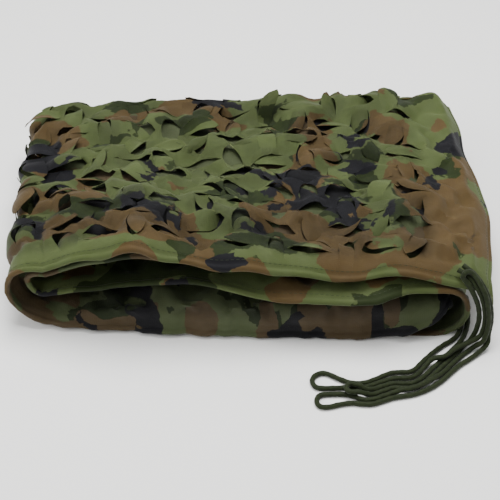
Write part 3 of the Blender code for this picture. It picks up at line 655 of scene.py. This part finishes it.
def loosen(folded, flat, leaves, normals, sizes):
    """Ruffles the leafy cloth, tips the strips between its slits, and lays its borders in long soft waves."""
    s, t = flat.T
    inwards = smooth_step(edge_distance(flat), 14 * MM, 40 * MM)
    loose = looseness(flat)
    on_floor = smooth_step(s, START_RIGHT + 10 * MM, START_C) * (t > WIDTH / 2)
    hidden = smooth_step(s, START_C, START_C + 30 * MM)
    rough = waves(s, t, 46 * MM, 3) + 0.5 * waves(s, t, 24 * MM, 4)
    soft = waves(s, t, 95 * MM, 5)
    lift = sizes.ruffle * (inwards * rough + (1 - inwards) * 0.45 * soft)
    beside_edge = 1 - smooth_step(edge_distance(flat), 15 * MM, 50 * MM)
    gathers = waves(s, np.zeros_like(s), 20 * MM, 6) * beside_edge
    on_band = plateau(s, START_LEFT, START_LEFT + 30 * MM, START_RIGHT - 30 * MM, START_RIGHT)
    lift += sizes.gather * gathers * np.where(t < WIDTH / 2, 0.3 + 0.4 * on_band, 0.3)
    for leaf in leaves:
        offset = flat - leaf["root"] - leaf["inwards"] * leaf["long"] / 2
        across, ahead = offset @ leaf["across"] / (11 * MM), offset @ leaf["inwards"] / (17 * MM)
        fade = np.exp(-(across**2) - ahead**2)
        lift += sizes.twist * loose * fade * (leaf["draws"][3] * across + 0.7 * leaf["draws"][7] * ahead)
    lift *= (1 - on_floor) * (1 - 0.7 * hidden)
    return folded + normals * lift[:, None]


def settle(loose, smooth, flat, faces, leaves, sizes):
    """Draws each edge of the ruffled cloth back to its cut length, in many small steps, so that it creases
    and buckles as cloth does and nowhere looks stretched. Leaves follow their roots, and are left out."""
    own = np.zeros(len(flat), bool)
    own[np.concatenate([leaf["free"] for leaf in leaves if not leaf["calm"]])] = True
    # The slit of a calm leaf stays closed.
    joined = np.arange(len(flat))
    for leaf in leaves:
        if leaf["calm"]:
            joined[leaf["copies"]] = leaf["slit"]
    kept = joined[faces[~own[faces].any(1)]]
    a, b = np.unique(np.sort(sides_of(kept), axis=1), axis=0).T
    count = len(flat)
    loosened = looseness(flat)
    fuller = 1 + sizes.fullness * (loosened[a] + loosened[b]) / 2
    rest = np.linalg.norm(smooth[a] - smooth[b], axis=1) * fuller
    touching = np.maximum(np.bincount(a, minlength=count) + np.bincount(b, minlength=count), 1)[:, None]
    free = (loosened * ~own)[:, None]

    def gathered(pulls):
        sums = [np.bincount(a, p, count) - np.bincount(b, p, count) for p in pulls.T]
        return np.stack(sums, -1) / touching

    for _ in range(SETTLE_STEPS):
        gap = loose[b] - loose[a]
        length = np.linalg.norm(gap, axis=1)
        pull = gathered(gap * (1 - rest / length)[:, None])
        loose = loose + free * (SETTLE_PULL * pull + SETTLE_STIFF * gathered(gap))
        away = loose - smooth
        far = np.maximum(np.linalg.norm(away, axis=1) / sizes.depth, 1)[:, None]
        loose = smooth + away / far
    return loose[joined]


def close_plies(folded, flat):
    """Lays the under ply of layer A close below the lowest places of its face ply, so that it shows through
    the holes, as the net's own weight presses the two plies together there."""
    s, t = flat.T
    face, under = (np.flatnonzero((s < START_LEFT) & side) for side in (t < PLY, t > WIDTH - PLY))
    x, y = folded[under, 0], folded[under, 1] + MIDDLE[1]
    share = plateau(y, *PRESSED_Y) * plateau(s[under], *PRESSED_S)
    pressed = np.flatnonzero(share > 0)
    lowest = np.full(len(under), np.nan)
    for k in pressed:
        near = np.hypot(*(folded[face, :2] - folded[under[k], :2]).T) < PRESS_REACH
        lowest[k] = folded[face[near], 2].min() if near.any() else np.nan
    for k in pressed:
        near = np.hypot(x - x[k], y - y[k]) < 1.5 * PRESS_REACH
        if np.isfinite(lowest[near]).any():
            folded[under[k], 2] += share[k] * (np.nanmean(lowest[near]) - PRESS_GAP - folded[under[k], 2])
        else:
            folded[under[k], 2] -= share[k] * PRESS_GAP


def lift_leaves(folded, smooth, flat, normals, leaves, sizes):
    """Curls each leaf out of its hole, from its root to its tip. It rides on the smooth form of the cloth,
    and its root on the cloth as it lies. The tip of a calm leaf only stands off a little."""
    for leaf in leaves:
        if leaf["calm"]:
            share = np.clip((flat[leaf["free"]] - leaf["root"]) @ leaf["inwards"] / leaf["long"], 0, 1)
            folded[leaf["free"]] += normals[leaf["free"]] * (CALM_LIFT * share**1.5)[:, None]
    leaves = [leaf for leaf in leaves if not leaf["calm"]]
    own = np.concatenate([leaf["free"] for leaf in leaves])
    places, held = [], []
    for leaf in leaves:
        root_line = leaf["root_points"]
        side = (flat[root_line] - leaf["root"]) @ leaf["across"]
        ahead = fold(*(leaf["root"] + leaf["inwards"] * MM)[:, None]) - fold(*leaf["root"][:, None])
        tilt = -math.asin(np.clip(normals[root_line].mean(0) @ ahead[0] / MM, -0.8, 0.8))
        across, share, place = leaf_place(leaf, flat, tilt, sizes)
        shift = folded[root_line] - smooth[root_line]
        places.append(place)
        held.append(between(across, side, shift) * (1 - 0.6 * share)[:, None])
    s, t, lift = np.concatenate(places).T
    folded[own] = fold(s, t) - MIDDLE + outward(s, t) * lift[:, None] + np.concatenate(held)


def leaf_place(leaf, flat, tilt, sizes):
    """For the free points of a curled leaf: how far across it and along it they are, and the places over
    the flat cloth, with their height, that they come to."""
    draws = leaf["draws"]
    local = flat[leaf["free"]] - leaf["root"]
    across, share = local @ leaf["across"], np.clip(local @ leaf["inwards"] / leaf["long"], 0, 1)
    rise, turn, twist = leaf_curl(leaf, sizes)
    steps = np.linspace(0, 1, CURL_STEPS + 1)
    angle = tilt * (1 - steps) + rise * smooth_step(steps, 0, 0.18) + turn * steps
    run, up = (run_up(part(angle[1:]) * leaf["long"] / CURL_STEPS) for part in (np.cos, np.sin))
    forward, upward = np.interp(share, steps, run), np.interp(share, steps, up)
    swing, tip = 0.35 * draws[4] * share, twist * share
    cup = 4 * MM * (draws[6] - 0.4) * (2 * across / leaf["wide"]) ** 2 * smooth_step(share, 0, 0.4)
    aside = across * np.cos(tip) + np.sin(swing) * forward
    place = leaf["root"] + aside[:, None] * leaf["across"]
    place += (np.cos(swing) * forward)[:, None] * leaf["inwards"]
    lift = upward + across * np.sin(tip) + cup * (abs(twist) + 0.3)
    return across, share, np.column_stack([place, lift])


def leaf_curl(leaf, sizes):
    """How steeply a leaf rises at its root, and how far it bends over and twists towards its tip."""
    kind, much, twist = leaf["draws"][1], 0.5 + 0.5 * leaf["draws"][2], 0.8 * leaf["draws"][5]
    if leaf["stands"]:
        return 0.9, -0.6 * sizes.curl, twist
    if leaf["root"][0] > START_LEFT - 20 * MM:
        return 0.15 + 0.2 * much, -sizes.curl * (0.4 + 0.4 * much), 0.3 * twist
    if kind < -0.5:
        return -0.15 - 0.25 * much, sizes.curl * (0.1 + 0.4 * much), twist
    if kind < 0.1:
        return 0.25 + 0.35 * much, -sizes.curl * (0.9 + 0.8 * much), twist
    return 0.1 + 0.2 * much, -sizes.curl * (0.4 + 0.4 * much), 0.6 * twist


def sheet_thickness(flat):
    """How thick the cloth is: a bead round the cord at its edge, then the doubled hem, then one cloth."""
    inset = edge_distance(flat)
    across = np.clip(2 * inset / HEM_BEAD - 1, -1, 1)
    bead = (HEM_THICK - CLOTH_THICK) * np.sqrt(1 - across**2)
    bead[(flat[:, 0] > START_C)] *= 0.3
    return CLOTH_THICK * np.where(inset < HEM_TURN, 1.8, 1.0) + bead


def solid_sheet(points, normals, thick, faces):
    """The closed form of a sheet: its outer side, its inner side and the walls along its edges."""
    count = len(points)
    both = np.concatenate([points + normals * thick[:, None] / 2, points - normals * thick[:, None] / 2])
    ends = sides_of(faces)
    keys = ends[:, 0] * count + ends[:, 1]
    rim = ends[~np.isin(ends[:, 1] * count + ends[:, 0], keys)]
    walls = np.concatenate([rim[:, [0, 1]], rim[:, [1, 0]] + count], axis=1)
    return both, [tuple(face) for face in (*faces[:, ::-1], *(faces + count), *walls)]


def smooth_path(route, count):
    """Points at even steps along a smooth curve through the points of a route, and the curve's length."""
    padded = np.concatenate([[2 * route[0] - route[1]], route, [2 * route[-1] - route[-2]]])
    before, start, end, after = padded[:-3, None], padded[1:-2, None], padded[2:-1, None], padded[3:, None]
    u = np.linspace(0, 1, 40, endpoint=False)[None, :, None]
    bent = 2 * start + (end - before) * u
    bent += (2 * before - 5 * start + 4 * end - after) * u**2 + (3 * start - before - 3 * end + after) * u**3
    curve = np.concatenate([(bent / 2).reshape(-1, 3), route[-1:]])
    run = run_up(np.linalg.norm(np.diff(curve, axis=0), axis=1))
    return between(np.linspace(0, run[-1], count), run, curve), run[-1]


def braid_tube(path, length, sizes):
    """A closed tube along a path, with the crossing strands of a braid raised on it."""
    ahead = np.gradient(path, axis=0)
    ahead /= np.linalg.norm(ahead, axis=1)[:, None]
    side = np.zeros_like(path)
    side[0] = np.cross(ahead[0], (0, 0, 1))
    for k in range(1, len(path)):
        side[k] = side[k - 1] - ahead[k] * (side[k - 1] @ ahead[k])
        side[k] /= np.linalg.norm(side[k])
    up = np.cross(ahead, side)
    turn = np.arange(CORD_SIDES) * math.tau / CORD_SIDES
    run = np.linspace(0, length, len(path))[:, None] / sizes.braid_pitch * math.tau
    strands = np.abs(np.sin(0.5 * run + 2 * turn) * np.sin(0.5 * run - 2 * turn))
    radius = sizes.cord / 2 * (0.92 + 0.12 * strands)
    rings = path[:, None] + radius[..., None] * (
        side[:, None] * np.cos(turn)[None, :, None] + up[:, None] * np.sin(turn)[None, :, None]
    )
    count = len(path)
    points = np.concatenate([rings.reshape(-1, 3), path[[0, -1]]])
    k, j = np.meshgrid(np.arange(count - 1), np.arange(CORD_SIDES), indexing="ij")
    here, beside = k * CORD_SIDES + j, k * CORD_SIDES + (j + 1) % CORD_SIDES
    skin = np.stack([here, beside, beside + CORD_SIDES, here + CORD_SIDES], -1).reshape(-1, 4)
    ends, last = np.arange(CORD_SIDES), (count - 1) * CORD_SIDES
    caps = [(count * CORD_SIDES, int((j + 1) % CORD_SIDES), int(j)) for j in ends]
    caps += [(count * CORD_SIDES + 1, int(last + j), int(last + (j + 1) % CORD_SIDES)) for j in ends]
    return points, [tuple(f) for f in skin] + caps


def seam_stitches(outer, normals, flat, sizes):
    """Short stitches on the outer side of the hem, one after another beside its turned edge."""
    step = sizes.stitch * 1.4
    # Columns: the coordinate that a line of stitches runs along, where it stops, the other one and its value.
    lines = [
        (0, START_C, 1, SEAM_INSET),
        (0, START_C, 1, WIDTH - SEAM_INSET),
        (1, WIDTH - SEAM_INSET, 0, SEAM_INSET),
    ]
    points, faces = [], []
    for run, stop, fixed, inset in lines:
        order = np.nonzero(np.abs(flat[:, fixed] - inset) < 1e-5)[0]
        order = order[np.argsort(flat[order, run])]
        reach = flat[order, run]
        skin = outer[order] + normals[order] * 0.1 * MM
        starts = np.arange(SEAM_INSET, stop - step, step)
        first, last = (between(starts + d, reach, skin) for d in (0, sizes.stitch))
        out = between(starts, reach, normals[order])
        wide = np.cross(last - first, out)
        wide *= sizes.thread / 2 / np.linalg.norm(wide, axis=1)[:, None]
        thick_way = out * sizes.thread / 2
        rings = [first + (last - first) * share for share in (0.2, 0.8)]
        around = [wide, thick_way, -wide, -thick_way]
        base = len(points)
        stitches = np.stack([first, *[r + a for r in rings for a in around], last], 1)
        points += [tuple(p) for p in stitches.reshape(-1, 3)]
        for k in range(len(starts)):
            at = base + 10 * k
            for j in range(4):
                here, beside = at + 1 + j, at + 1 + (j + 1) % 4
                faces.append((at, beside, here))
                faces.append((here, beside, beside + 4, here + 4))
                faces.append((here + 4, beside + 4, at + 9))
    return points, faces


def set_up(node, settings):
    """Gives a shader node its settings: its own attributes, or the values of its inputs."""
    for item, value in settings.items():
        if isinstance(item, str) and hasattr(node, item):
            setattr(node, item, value)
        else:
            node.inputs[item].default_value = value


def add_node(tree, name, kind, settings, links=()):
    """Adds a shader node with its settings and the links into its inputs. A link gives an input the output
    of an earlier node: the name of that node, and the output's name or number."""
    node = tree.nodes.new("ShaderNode" + kind)
    node.name = name
    set_up(node, settings)
    for item, (source, output) in dict(links).items():
        tree.links.new(tree.nodes[source].outputs[output], node.inputs[item])


def new_material(name, roughness, sheen, through, nodes, colour):
    """A material of woven, braided or spun polyester, from its nodes and the one that gives its colour."""
    made = bpy.data.materials.new(name)
    made.use_nodes = True
    tree = made.node_tree
    for row in nodes:
        add_node(tree, *row)
    shader = tree.nodes["Principled BSDF"]
    settings = {
        "Metallic": 0,
        "IOR": 1.55,
        "Specular IOR Level": 0.1,  # fibre ends break up most of the shine
        "Roughness": roughness,
        "Sheen Weight": sheen,
        "Sheen Roughness": 0.5,
        "Subsurface Weight": through,  # the share of the light that gets into the yarns
        "Subsurface Radius": (2 * MM, 2 * MM, 2 * MM),
        "Subsurface Scale": 1.0,
    }
    set_up(shader, settings)
    tree.links.new(tree.nodes[colour].outputs[2], shader.inputs["Base Color"])
    tree.links.new(tree.nodes["relief"].outputs["Normal"], shader.inputs["Normal"])
    return made


def printed_polyester(colours):
    """Woven polyester, printed with pigments in a woodland pattern."""
    # The matt yarns scatter nearly all of the light, so the eye sees flat blots of colour with crisp edges,
    # a faint weave and small dry creases, and hardly any shine. The back of the cloth is a little duller,
    # and some light comes through the thin yarns. Noise scales are repeats per metre: the blots are 50 to
    # 90 mm across and ragged every 18 mm, the fading goes by 17 mm and the creases by 8 mm.
    dyes = colours.light_green, colours.olive, colours.brown, colours.navy_black
    green, olive, brown, black = ((*dye, 1) for dye in dyes)
    reach = (30 * MM, 30 * MM, 0)  # of the ragged edges
    in_flat, rgba = ("flat", "UV"), {"data_type": "RGBA"}
    nodes = [
        ("flat", "UVMap", {"uv_map": "flat_cloth"}),
        ("leans", "Attribute", {"attribute_name": "print_lean"}),
        ("lean", "SeparateColor", {}, {"Color": ("leans", "Color")}),
        ("ragged", "TexNoise", {"Scale": 55.0, "Detail": 3.0, "Roughness": 0.6}, {"Vector": in_flat}),
        ("centred", "VectorMath", {"operation": "SUBTRACT", 1: (0.5, 0.5, 0.5)}, {0: ("ragged", "Color")}),
        ("warped", "VectorMath", {"operation": "MULTIPLY_ADD", 1: reach}, {0: ("centred", 0), 2: in_flat}),
    ]
    for name, scale, shift in (
        ("brown", 17.0, (3.1, 0.7, 0)),
        ("olive", 20.0, (7.7, 2.9, 0)),
        ("ridge", 20.0, (1.3, 5.2, 0)),
        ("branch", 11.0, (9.4, 4.4, 0)),
    ):
        nodes += [
            (name + "_place", "VectorMath", {"operation": "ADD", 1: shift}, {0: ("warped", 0)}),
            (name, "TexNoise", {"Scale": scale, "Detail": 1.0}, {"Vector": (name + "_place", 0)}),
        ]
    nodes += [
        ("brown_leant", "Math", {"operation": "ADD"}, {0: ("brown", 0), 1: ("lean", 0)}),
        ("olive_leant", "Math", {"operation": "ADD"}, {0: ("olive", 0), 1: ("lean", 2)}),
        ("branch_leant", "Math", {"operation": "ADD"}, {0: ("branch", 0), 1: ("lean", 1)}),
        ("ridge_side", "Math", {"operation": "SUBTRACT", 1: 0.5}, {0: ("ridge", 0)}),
        ("ridge_far", "Math", {"operation": "ABSOLUTE"}, {0: ("ridge_side", 0)}),
        ("branch_thin", "Math", {"operation": "SUBTRACT"}, {0: ("branch_leant", 0), 1: ("ridge_far", 0)}),
    ]
    for name, source, start in (
        ("olive_edge", "olive_leant", 0.555),
        ("brown_edge", "brown_leant", 0.535),
        ("black_edge", "branch_thin", 0.515),
    ):
        settings = {"interpolation_type": "SMOOTHSTEP", "From Min": start, "From Max": start + 0.01}
        nodes.append((name, "MapRange", settings, {"Value": (source, 0)}))
    weave = {"Scale": 2 / (WEAVE_PITCH * math.tau), "Distortion": 0.4, "Detail": 1.0}
    relief, crease = {"Strength": 0.35, "Distance": 0.2 * MM}, {"Strength": 0.5, "Distance": 1.2 * MM}
    nodes += [
        ("two", "Mix", rgba | {6: green, 7: olive}, {"Factor": ("olive_edge", 0)}),
        ("three", "Mix", rgba | {7: brown}, {"Factor": ("brown_edge", 0), 6: ("two", 2)}),
        ("four", "Mix", rgba | {7: black}, {"Factor": ("black_edge", 0), 6: ("three", 2)}),
        ("fading", "TexNoise", {"Scale": 60.0, "Detail": 4.0}, {"Vector": in_flat}),
        ("dust", "MapRange", {"From Min": 0.3, "From Max": 0.75}, {"Value": ("fading", 0)}),
        # Painted shade: this attribute darkens the leafy cloth for the shade that falls among its leaves, more
        # beside the hem of the face ply, with random tones of the leaves mixed in.
        ("tone", "Attribute", {"attribute_name": "tone"}),
        ("toned", "HueSaturation", {}, {"Color": ("four", 2), "Value": ("tone", "Fac")}),
        ("dusty", "HueSaturation", {"Saturation": 0.9, "Value": 1.15}, {"Color": ("toned", 0)}),
        ("worn", "Mix", rgba, {"Factor": ("dust", 0), 6: ("toned", 0), 7: ("dusty", 0)}),
        ("reverse", "Attribute", {"attribute_name": "reverse_side"}),
        ("dull", "HueSaturation", {"Saturation": 0.85, "Value": 0.8}, {"Color": ("worn", 2)}),
        ("printed", "Mix", rgba, {"Factor": ("reverse", "Fac"), 6: ("worn", 2), 7: ("dull", "Color")}),
        ("warp", "TexWave", {"bands_direction": "X", **weave}, {"Vector": in_flat}),
        ("weft", "TexWave", {"bands_direction": "Y", **weave}, {"Vector": in_flat}),
        ("woven", "Math", {"operation": "MAXIMUM"}, {0: ("warp", "Fac"), 1: ("weft", "Fac")}),
        ("creases", "TexNoise", {"Scale": 120.0, "Detail": 3.0}, {"Vector": in_flat}),
        ("weave", "Bump", relief, {"Height": ("woven", 0)}),
        ("relief", "Bump", crease, {"Height": ("creases", 0), "Normal": ("weave", 0)}),
    ]
    return new_material("printed_polyester_weave", 0.72, 0.04, 0.5, nodes, "printed")


def spun_or_braided(name, sheen, colour, gap_shade_share, yarn):
    """Polyester yarns, each as wide as yarn, that are braided or spun together, in one colour of dye, with
    painted shade in the gaps between the yarns.
    """
    # The small gaps between the yarns hold no light and their loose fibres scatter what falls on them, so the
    # eye sees a dull, slightly furry and mottled colour with darker specks. The specks are painted shade: the
    # colour is darkened where the noise puts gaps between the yarns.
    dark = [c * gap_shade_share for c in colour]
    nodes = [
        ("place", "TexCoord", {}),
        ("yarns", "TexNoise", {"Scale": 1 / yarn, "Detail": 2.0}, {"Vector": ("place", "Object")}),
        ("gaps", "MapRange", {"From Min": 0.3, "From Max": 0.7}, {"Value": ("yarns", 0)}),
        ("dyed", "Mix", {"data_type": "RGBA", 6: (*dark, 1), 7: (*colour, 1)}, {"Factor": ("gaps", 0)}),
        ("relief", "Bump", {"Strength": 0.3, "Distance": 0.2 * MM}, {"Height": ("yarns", 0)}),
    ]
    return new_material(name, 0.65, sheen, 0, nodes, "dyed")


def add_object(name, data):
    """An object in the scene: a mesh, a light or a camera."""
    made = bpy.data.objects.new(name, data)
    bpy.context.scene.collection.objects.link(made)
    return made


def add_piece(name, points, faces, material, sharp_degrees, parent=None):
    """A mesh piece that rides on the part or on its parent, smooth but for edges sharper than an angle."""
    mesh = bpy.data.meshes.new(name)
    mesh.from_pydata([tuple(p) for p in points], [], faces)
    if mesh.validate():
        raise RuntimeError(f"{name} has bad faces")
    mesh.shade_smooth()
    mesh.set_sharp_from_angle(angle=math.radians(sharp_degrees))
    mesh.materials.append(material)
    piece = add_object(name, mesh)
    if parent:
        piece.parent = parent
    else:
        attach(piece, BODY)
    return piece


def note(mesh, name, kind, field, values):
    """Keeps a value for each point of a mesh."""
    mesh.attributes.new(name, kind, "POINT").data.foreach_set(field, values.astype(np.float32).ravel())


def add_flat_places(mesh, flat, leaves):
    """Notes on each point of the cloth where it lies in the flat, how the print leans there, and how dark it
    is made. The leafy cloth and its leaves carry painted shade, for the shade that falls among the leaves and
    more beside the hem of the face ply, so they are darker than the borders; their tones also differ at
    random."""
    both = np.concatenate([flat, flat])
    note(mesh, "flat_place", "FLOAT_VECTOR", "vector", np.column_stack([both, np.zeros(len(both))]))
    corners = np.empty(len(mesh.loops), int)
    mesh.loops.foreach_get("vertex_index", corners)
    mesh.uv_layers.new(name="flat_cloth").data.foreach_set("uv", both[corners].astype(np.float32).ravel())
    note(mesh, "reverse_side", "FLOAT", "value", np.repeat([0.0, 1.0], len(flat)))
    s, t = flat.T
    leafy_share = smooth_step(np.minimum(t, WIDTH - t), SIDE_BORDER, SIDE_BORDER + 12 * MM)
    leafy_share *= smooth_step(s, END_BORDER - 8 * MM, END_BORDER + 8 * MM)
    # Painted shade: the leafy cloth is darkened for the shade among its leaves, and more beside the hem of the
    # face ply.
    painted_shade = LEAFY_SHADE + HEM_SHADE * (1 - smooth_step(t, 50 * MM, 130 * MM))
    tone = 1 - leafy_share * (painted_shade + 0.3 * LEAF_TONES * waves(s, t, 34 * MM, 8))
    for leaf in leaves:
        if not leaf["calm"]:
            tone[leaf["free"]] += LEAF_TONES * leaf["draws"][6]
    note(mesh, "tone", "FLOAT", "value", np.concatenate([tone, tone]))
    lean = np.zeros((len(both), 4))
    for dye, patches in PATCHES.items():
        for at_s, at_t, reach_s, reach_t in patches:
            away = (both / MM - (at_s, at_t)) / (reach_s, reach_t)
            lean[:, :3] += PATCH_GAIN * np.exp(-(away**2).sum(1))[:, None] * PATCH_LEANS[dye]
    note(mesh, "print_lean", "FLOAT_COLOR", "color", lean)


def metres(name, description, default):
    return FloatProperty(name=name, description=description, default=default, unit="LENGTH")


def watts(name, description, default):
    return FloatProperty(name=name, description=description, default=default, unit="POWER")


def swatch(name, description, code):
    return FloatVectorProperty(name=name, description=description, default=to_linear(code), subtype="COLOR")


class NetSizes(bpy.types.PropertyGroup):
    """The sizes of the cloth, its leaves and its seam."""

    leaf_long: metres("Leaf length", "From the root of a leaf to its tip", LEAF_LONG)
    leaf_wide: metres("Leaf width", "Across the widest part of a leaf", LEAF_WIDE)
    curl: FloatProperty(
        name="Leaf curl", description="How far a leaf bends from root to tip", default=1.0, subtype="ANGLE"
    )
    ruffle: metres("Ruffle", "Usual height of the waves of the leafy cloth", 3.2 * MM)
    twist: metres("Twist", "How far the strips between the slits tip over", 5.5 * MM)
    stitch: metres("Stitch length", "Length of one stitch of the hem", 3.2 * MM)
    thread: metres("Thread", "Thickness of the sewing thread", 0.4 * MM)
    gather: metres("Gather", "Height of the gathers that the cord makes in the hem", 1.2 * MM)
    fullness: FloatProperty(
        name="Fullness", description="How much more cloth there is than the smooth form takes", default=0.12
    )
    depth: metres("Depth", "How far the cloth can lie off its smooth form", 9 * MM)
    seed: IntProperty(name="Seed", description="Which of the random lays of the leaves is made", default=7)


class CordSizes(bpy.types.PropertyGroup):
    """The sizes of the draw cord."""

    cord: metres("Thickness", "Diameter of the cord", CORD)
    braid_pitch: metres("Braid pitch", "Length of one turn of a strand of the braid", 9 * MM)


class NetColours(bpy.types.PropertyGroup):
    """The colours of the print, the cord and the thread."""

    light_green: swatch("Light green", "Ground colour of the print", "404A26")
    olive: swatch("Olive", "Darker green of the print", "1D260C")
    brown: swatch("Brown", "Brown of the print", "45361B")
    navy_black: swatch("Navy black", "Branches of the print", "0E0E12")
    cord: swatch("Cord", "Colour of the draw cord", "232B15")
    thread: swatch("Thread", "Colour of the sewing thread", "2C3420")


class StageSettings(bpy.types.PropertyGroup):
    """The floor and the lights."""

    floor: swatch("Floor", "Colour of the floor", "F2F2F0")
    overhead: watts("Overhead light", "Power of the large light above", 43.0)
    side: watts("Side light", "Power of the light from the left", 15.0)
    surround: FloatProperty(
        name="Surround", description="Strength of the light from all round", default=0.6, min=0.0
    )


class CAMONET_OT_stage(bpy.types.Operator):
    """Lay a plain floor and place the camera and the soft lights"""

    bl_idname = "camonet.stage"
    bl_label = "Stage"

    def execute(self, context):
        settings = context.scene.camonet_stage
        mesh = bpy.data.meshes.new("floor")
        corners = [(FLOOR_REACH * x, FLOOR_REACH * y, 0) for x, y in ((-1, -1), (1, -1), (1, 1), (-1, 1))]
        mesh.from_pydata(corners, [], [(0, 1, 2, 3)])
        made = bpy.data.materials.new("matt_painted_floor")
        made.use_nodes = True
        floor_looks = {"Base Color": (*settings.floor, 1), "Roughness": 0.9}
        set_up(made.node_tree.nodes["Principled BSDF"], floor_looks)
        mesh.materials.append(made)
        floor = add_object("floor", mesh)
        lens = bpy.data.cameras.new("camera")
        lens.sensor_width, lens.lens = CAMERA_SENSOR, CAMERA_LENS
        camera = add_object("camera", lens)
        camera.location = CAMERA_PLACE
        camera.rotation_euler = (math.pi / 2 - CAMERA_DOWN, 0, -CAMERA_TURN)
        context.scene.camera = camera
        for name, power, size, place in (
            ("overhead_light", settings.overhead, 1.0, (0.05, 0.12, 1.5)),
            ("side_light", settings.side, 1.0, (-1.3, -0.8, 1.1)),
        ):
            light = bpy.data.lights.new(name, "AREA")
            light.energy, light.size = power, size
            lamp = add_object(name, light)
            lamp.location = place
            lamp.rotation_euler = (-Vector(place)).to_track_quat("-Z", "Y").to_euler()
        world = bpy.data.worlds.new("surround")
        world.use_nodes = True
        set_up(world.node_tree.nodes["Background"], {"Color": (1, 1, 1, 1), "Strength": settings.surround})
        context.scene.world = world
        return {"FINISHED"}


class CAMONET_OT_cord(bpy.types.Operator):
    """Build the braided draw cord along its route"""

    bl_idname = "camonet.cord"
    bl_label = "Draw Cord"

    def execute(self, context):
        sizes = context.scene.camonet_cord
        path, length = smooth_path(CORD_ROUTE - MIDDLE, CORD_RINGS)
        points, faces = braid_tube(path, length, sizes)
        colour = context.scene.camonet_colours.cord
        material = spun_or_braided("braided_polyester", 0.06, colour, 0.5, CORD_YARN)
        cord = add_piece("braided_draw_cord", points, faces, material, 60)
        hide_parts("draw_cord")
        return {"FINISHED"}


class CAMONET_OT_cloth(bpy.types.Operator):
    """Build the leaf-cut cloth in its folds"""

    bl_idname = "camonet.cloth"
    bl_label = "Leaf-Cut Cloth"

    def execute(self, context):
        sizes = context.scene.camonet_net
        leaves = plan_leaves(sizes)
        flat, faces = cut_cloth(leaves)
        smooth = fold(flat[:, 0], flat[:, 1]) - MIDDLE
        folded = loosen(smooth, flat, leaves, point_normals(smooth, faces), sizes)
        folded = settle(folded, smooth, flat, faces, leaves, sizes)
        close_plies(folded, flat)
        lift_leaves(folded, smooth, flat, point_normals(folded, faces), leaves, sizes)
        points, polygons = solid_sheet(folded, point_normals(folded, faces), sheet_thickness(flat), faces)
        points[:, 2] = np.maximum(points[:, 2], 0)
        material = printed_polyester(context.scene.camonet_colours)
        cloth = add_piece("leaf_cut_cloth", points, polygons, material, 60)
        add_flat_places(cloth.data, flat, leaves)
        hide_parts("net_cloth")
        return {"FINISHED"}


class CAMONET_OT_seam(bpy.types.Operator):
    """Sew the stitches of the hem along the cloth"""

    bl_idname = "camonet.seam"
    bl_label = "Hem Stitches"

    def execute(self, context):
        cloth = bpy.data.objects.get("leaf_cut_cloth")
        if cloth is None:
            raise RuntimeError("The cloth must be built before its seam")
        count = len(cloth.data.vertices) // 2
        points, places = np.empty(6 * count), np.empty(6 * count)
        cloth.data.vertices.foreach_get("co", points)
        cloth.data.attributes["flat_place"].data.foreach_get("vector", places)
        outer, inner = points.reshape(2, count, 3)
        normals = (outer - inner) / np.linalg.norm(outer - inner, axis=1)[:, None]
        flat = places.reshape(-1, 3)[:count, :2]
        points, polygons = seam_stitches(outer, normals, flat, context.scene.camonet_net)
        colour = context.scene.camonet_colours.thread
        material = spun_or_braided("spun_polyester_thread", 0.05, colour, 0.7, THREAD_YARN)
        add_piece("hem_stitches", points, polygons, material, 30, cloth)
        return {"FINISHED"}


class CAMONET_PT_sidebar(bpy.types.Panel):
    """The net's sizes and colours, and the buttons that build it"""

    bl_label = "Camouflage Net"
    bl_space_type = "VIEW_3D"
    bl_region_type = "UI"
    bl_category = "Camouflage Net"

    def draw(self, context):
        for title, group, operators in (
            ("Stage", "camonet_stage", ("camonet.stage",)),
            ("Cord", "camonet_cord", ("camonet.cord",)),
            ("Cloth", "camonet_net", ("camonet.cloth", "camonet.seam")),
            ("Colours", "camonet_colours", ()),
        ):
            box = self.layout.box()
            box.label(text=title)
            settings = getattr(context.scene, group)
            for name in settings.__annotations__:
                box.prop(settings, name)
            for operator in operators:
                box.operator(operator)


GROUPS = {
    "camonet_net": NetSizes,
    "camonet_cord": CordSizes,
    "camonet_colours": NetColours,
    "camonet_stage": StageSettings,
}
CLASSES = (
    *GROUPS.values(),
    CAMONET_OT_stage,
    CAMONET_OT_cord,
    CAMONET_OT_cloth,
    CAMONET_OT_seam,
    CAMONET_PT_sidebar,
)


def register():
    for item in CLASSES:
        bpy.utils.register_class(item)
    for name, group in GROUPS.items():
        setattr(bpy.types.Scene, name, PointerProperty(type=group))


def unregister():
    for name in GROUPS:
        delattr(bpy.types.Scene, name)
    for item in reversed(CLASSES):
        bpy.utils.unregister_class(item)


def main():
    register()
    bpy.ops.camonet.stage()
    bpy.ops.camonet.cord()
    bpy.ops.camonet.cloth()
    bpy.ops.camonet.seam()


if __name__ == "__main__":
    main()
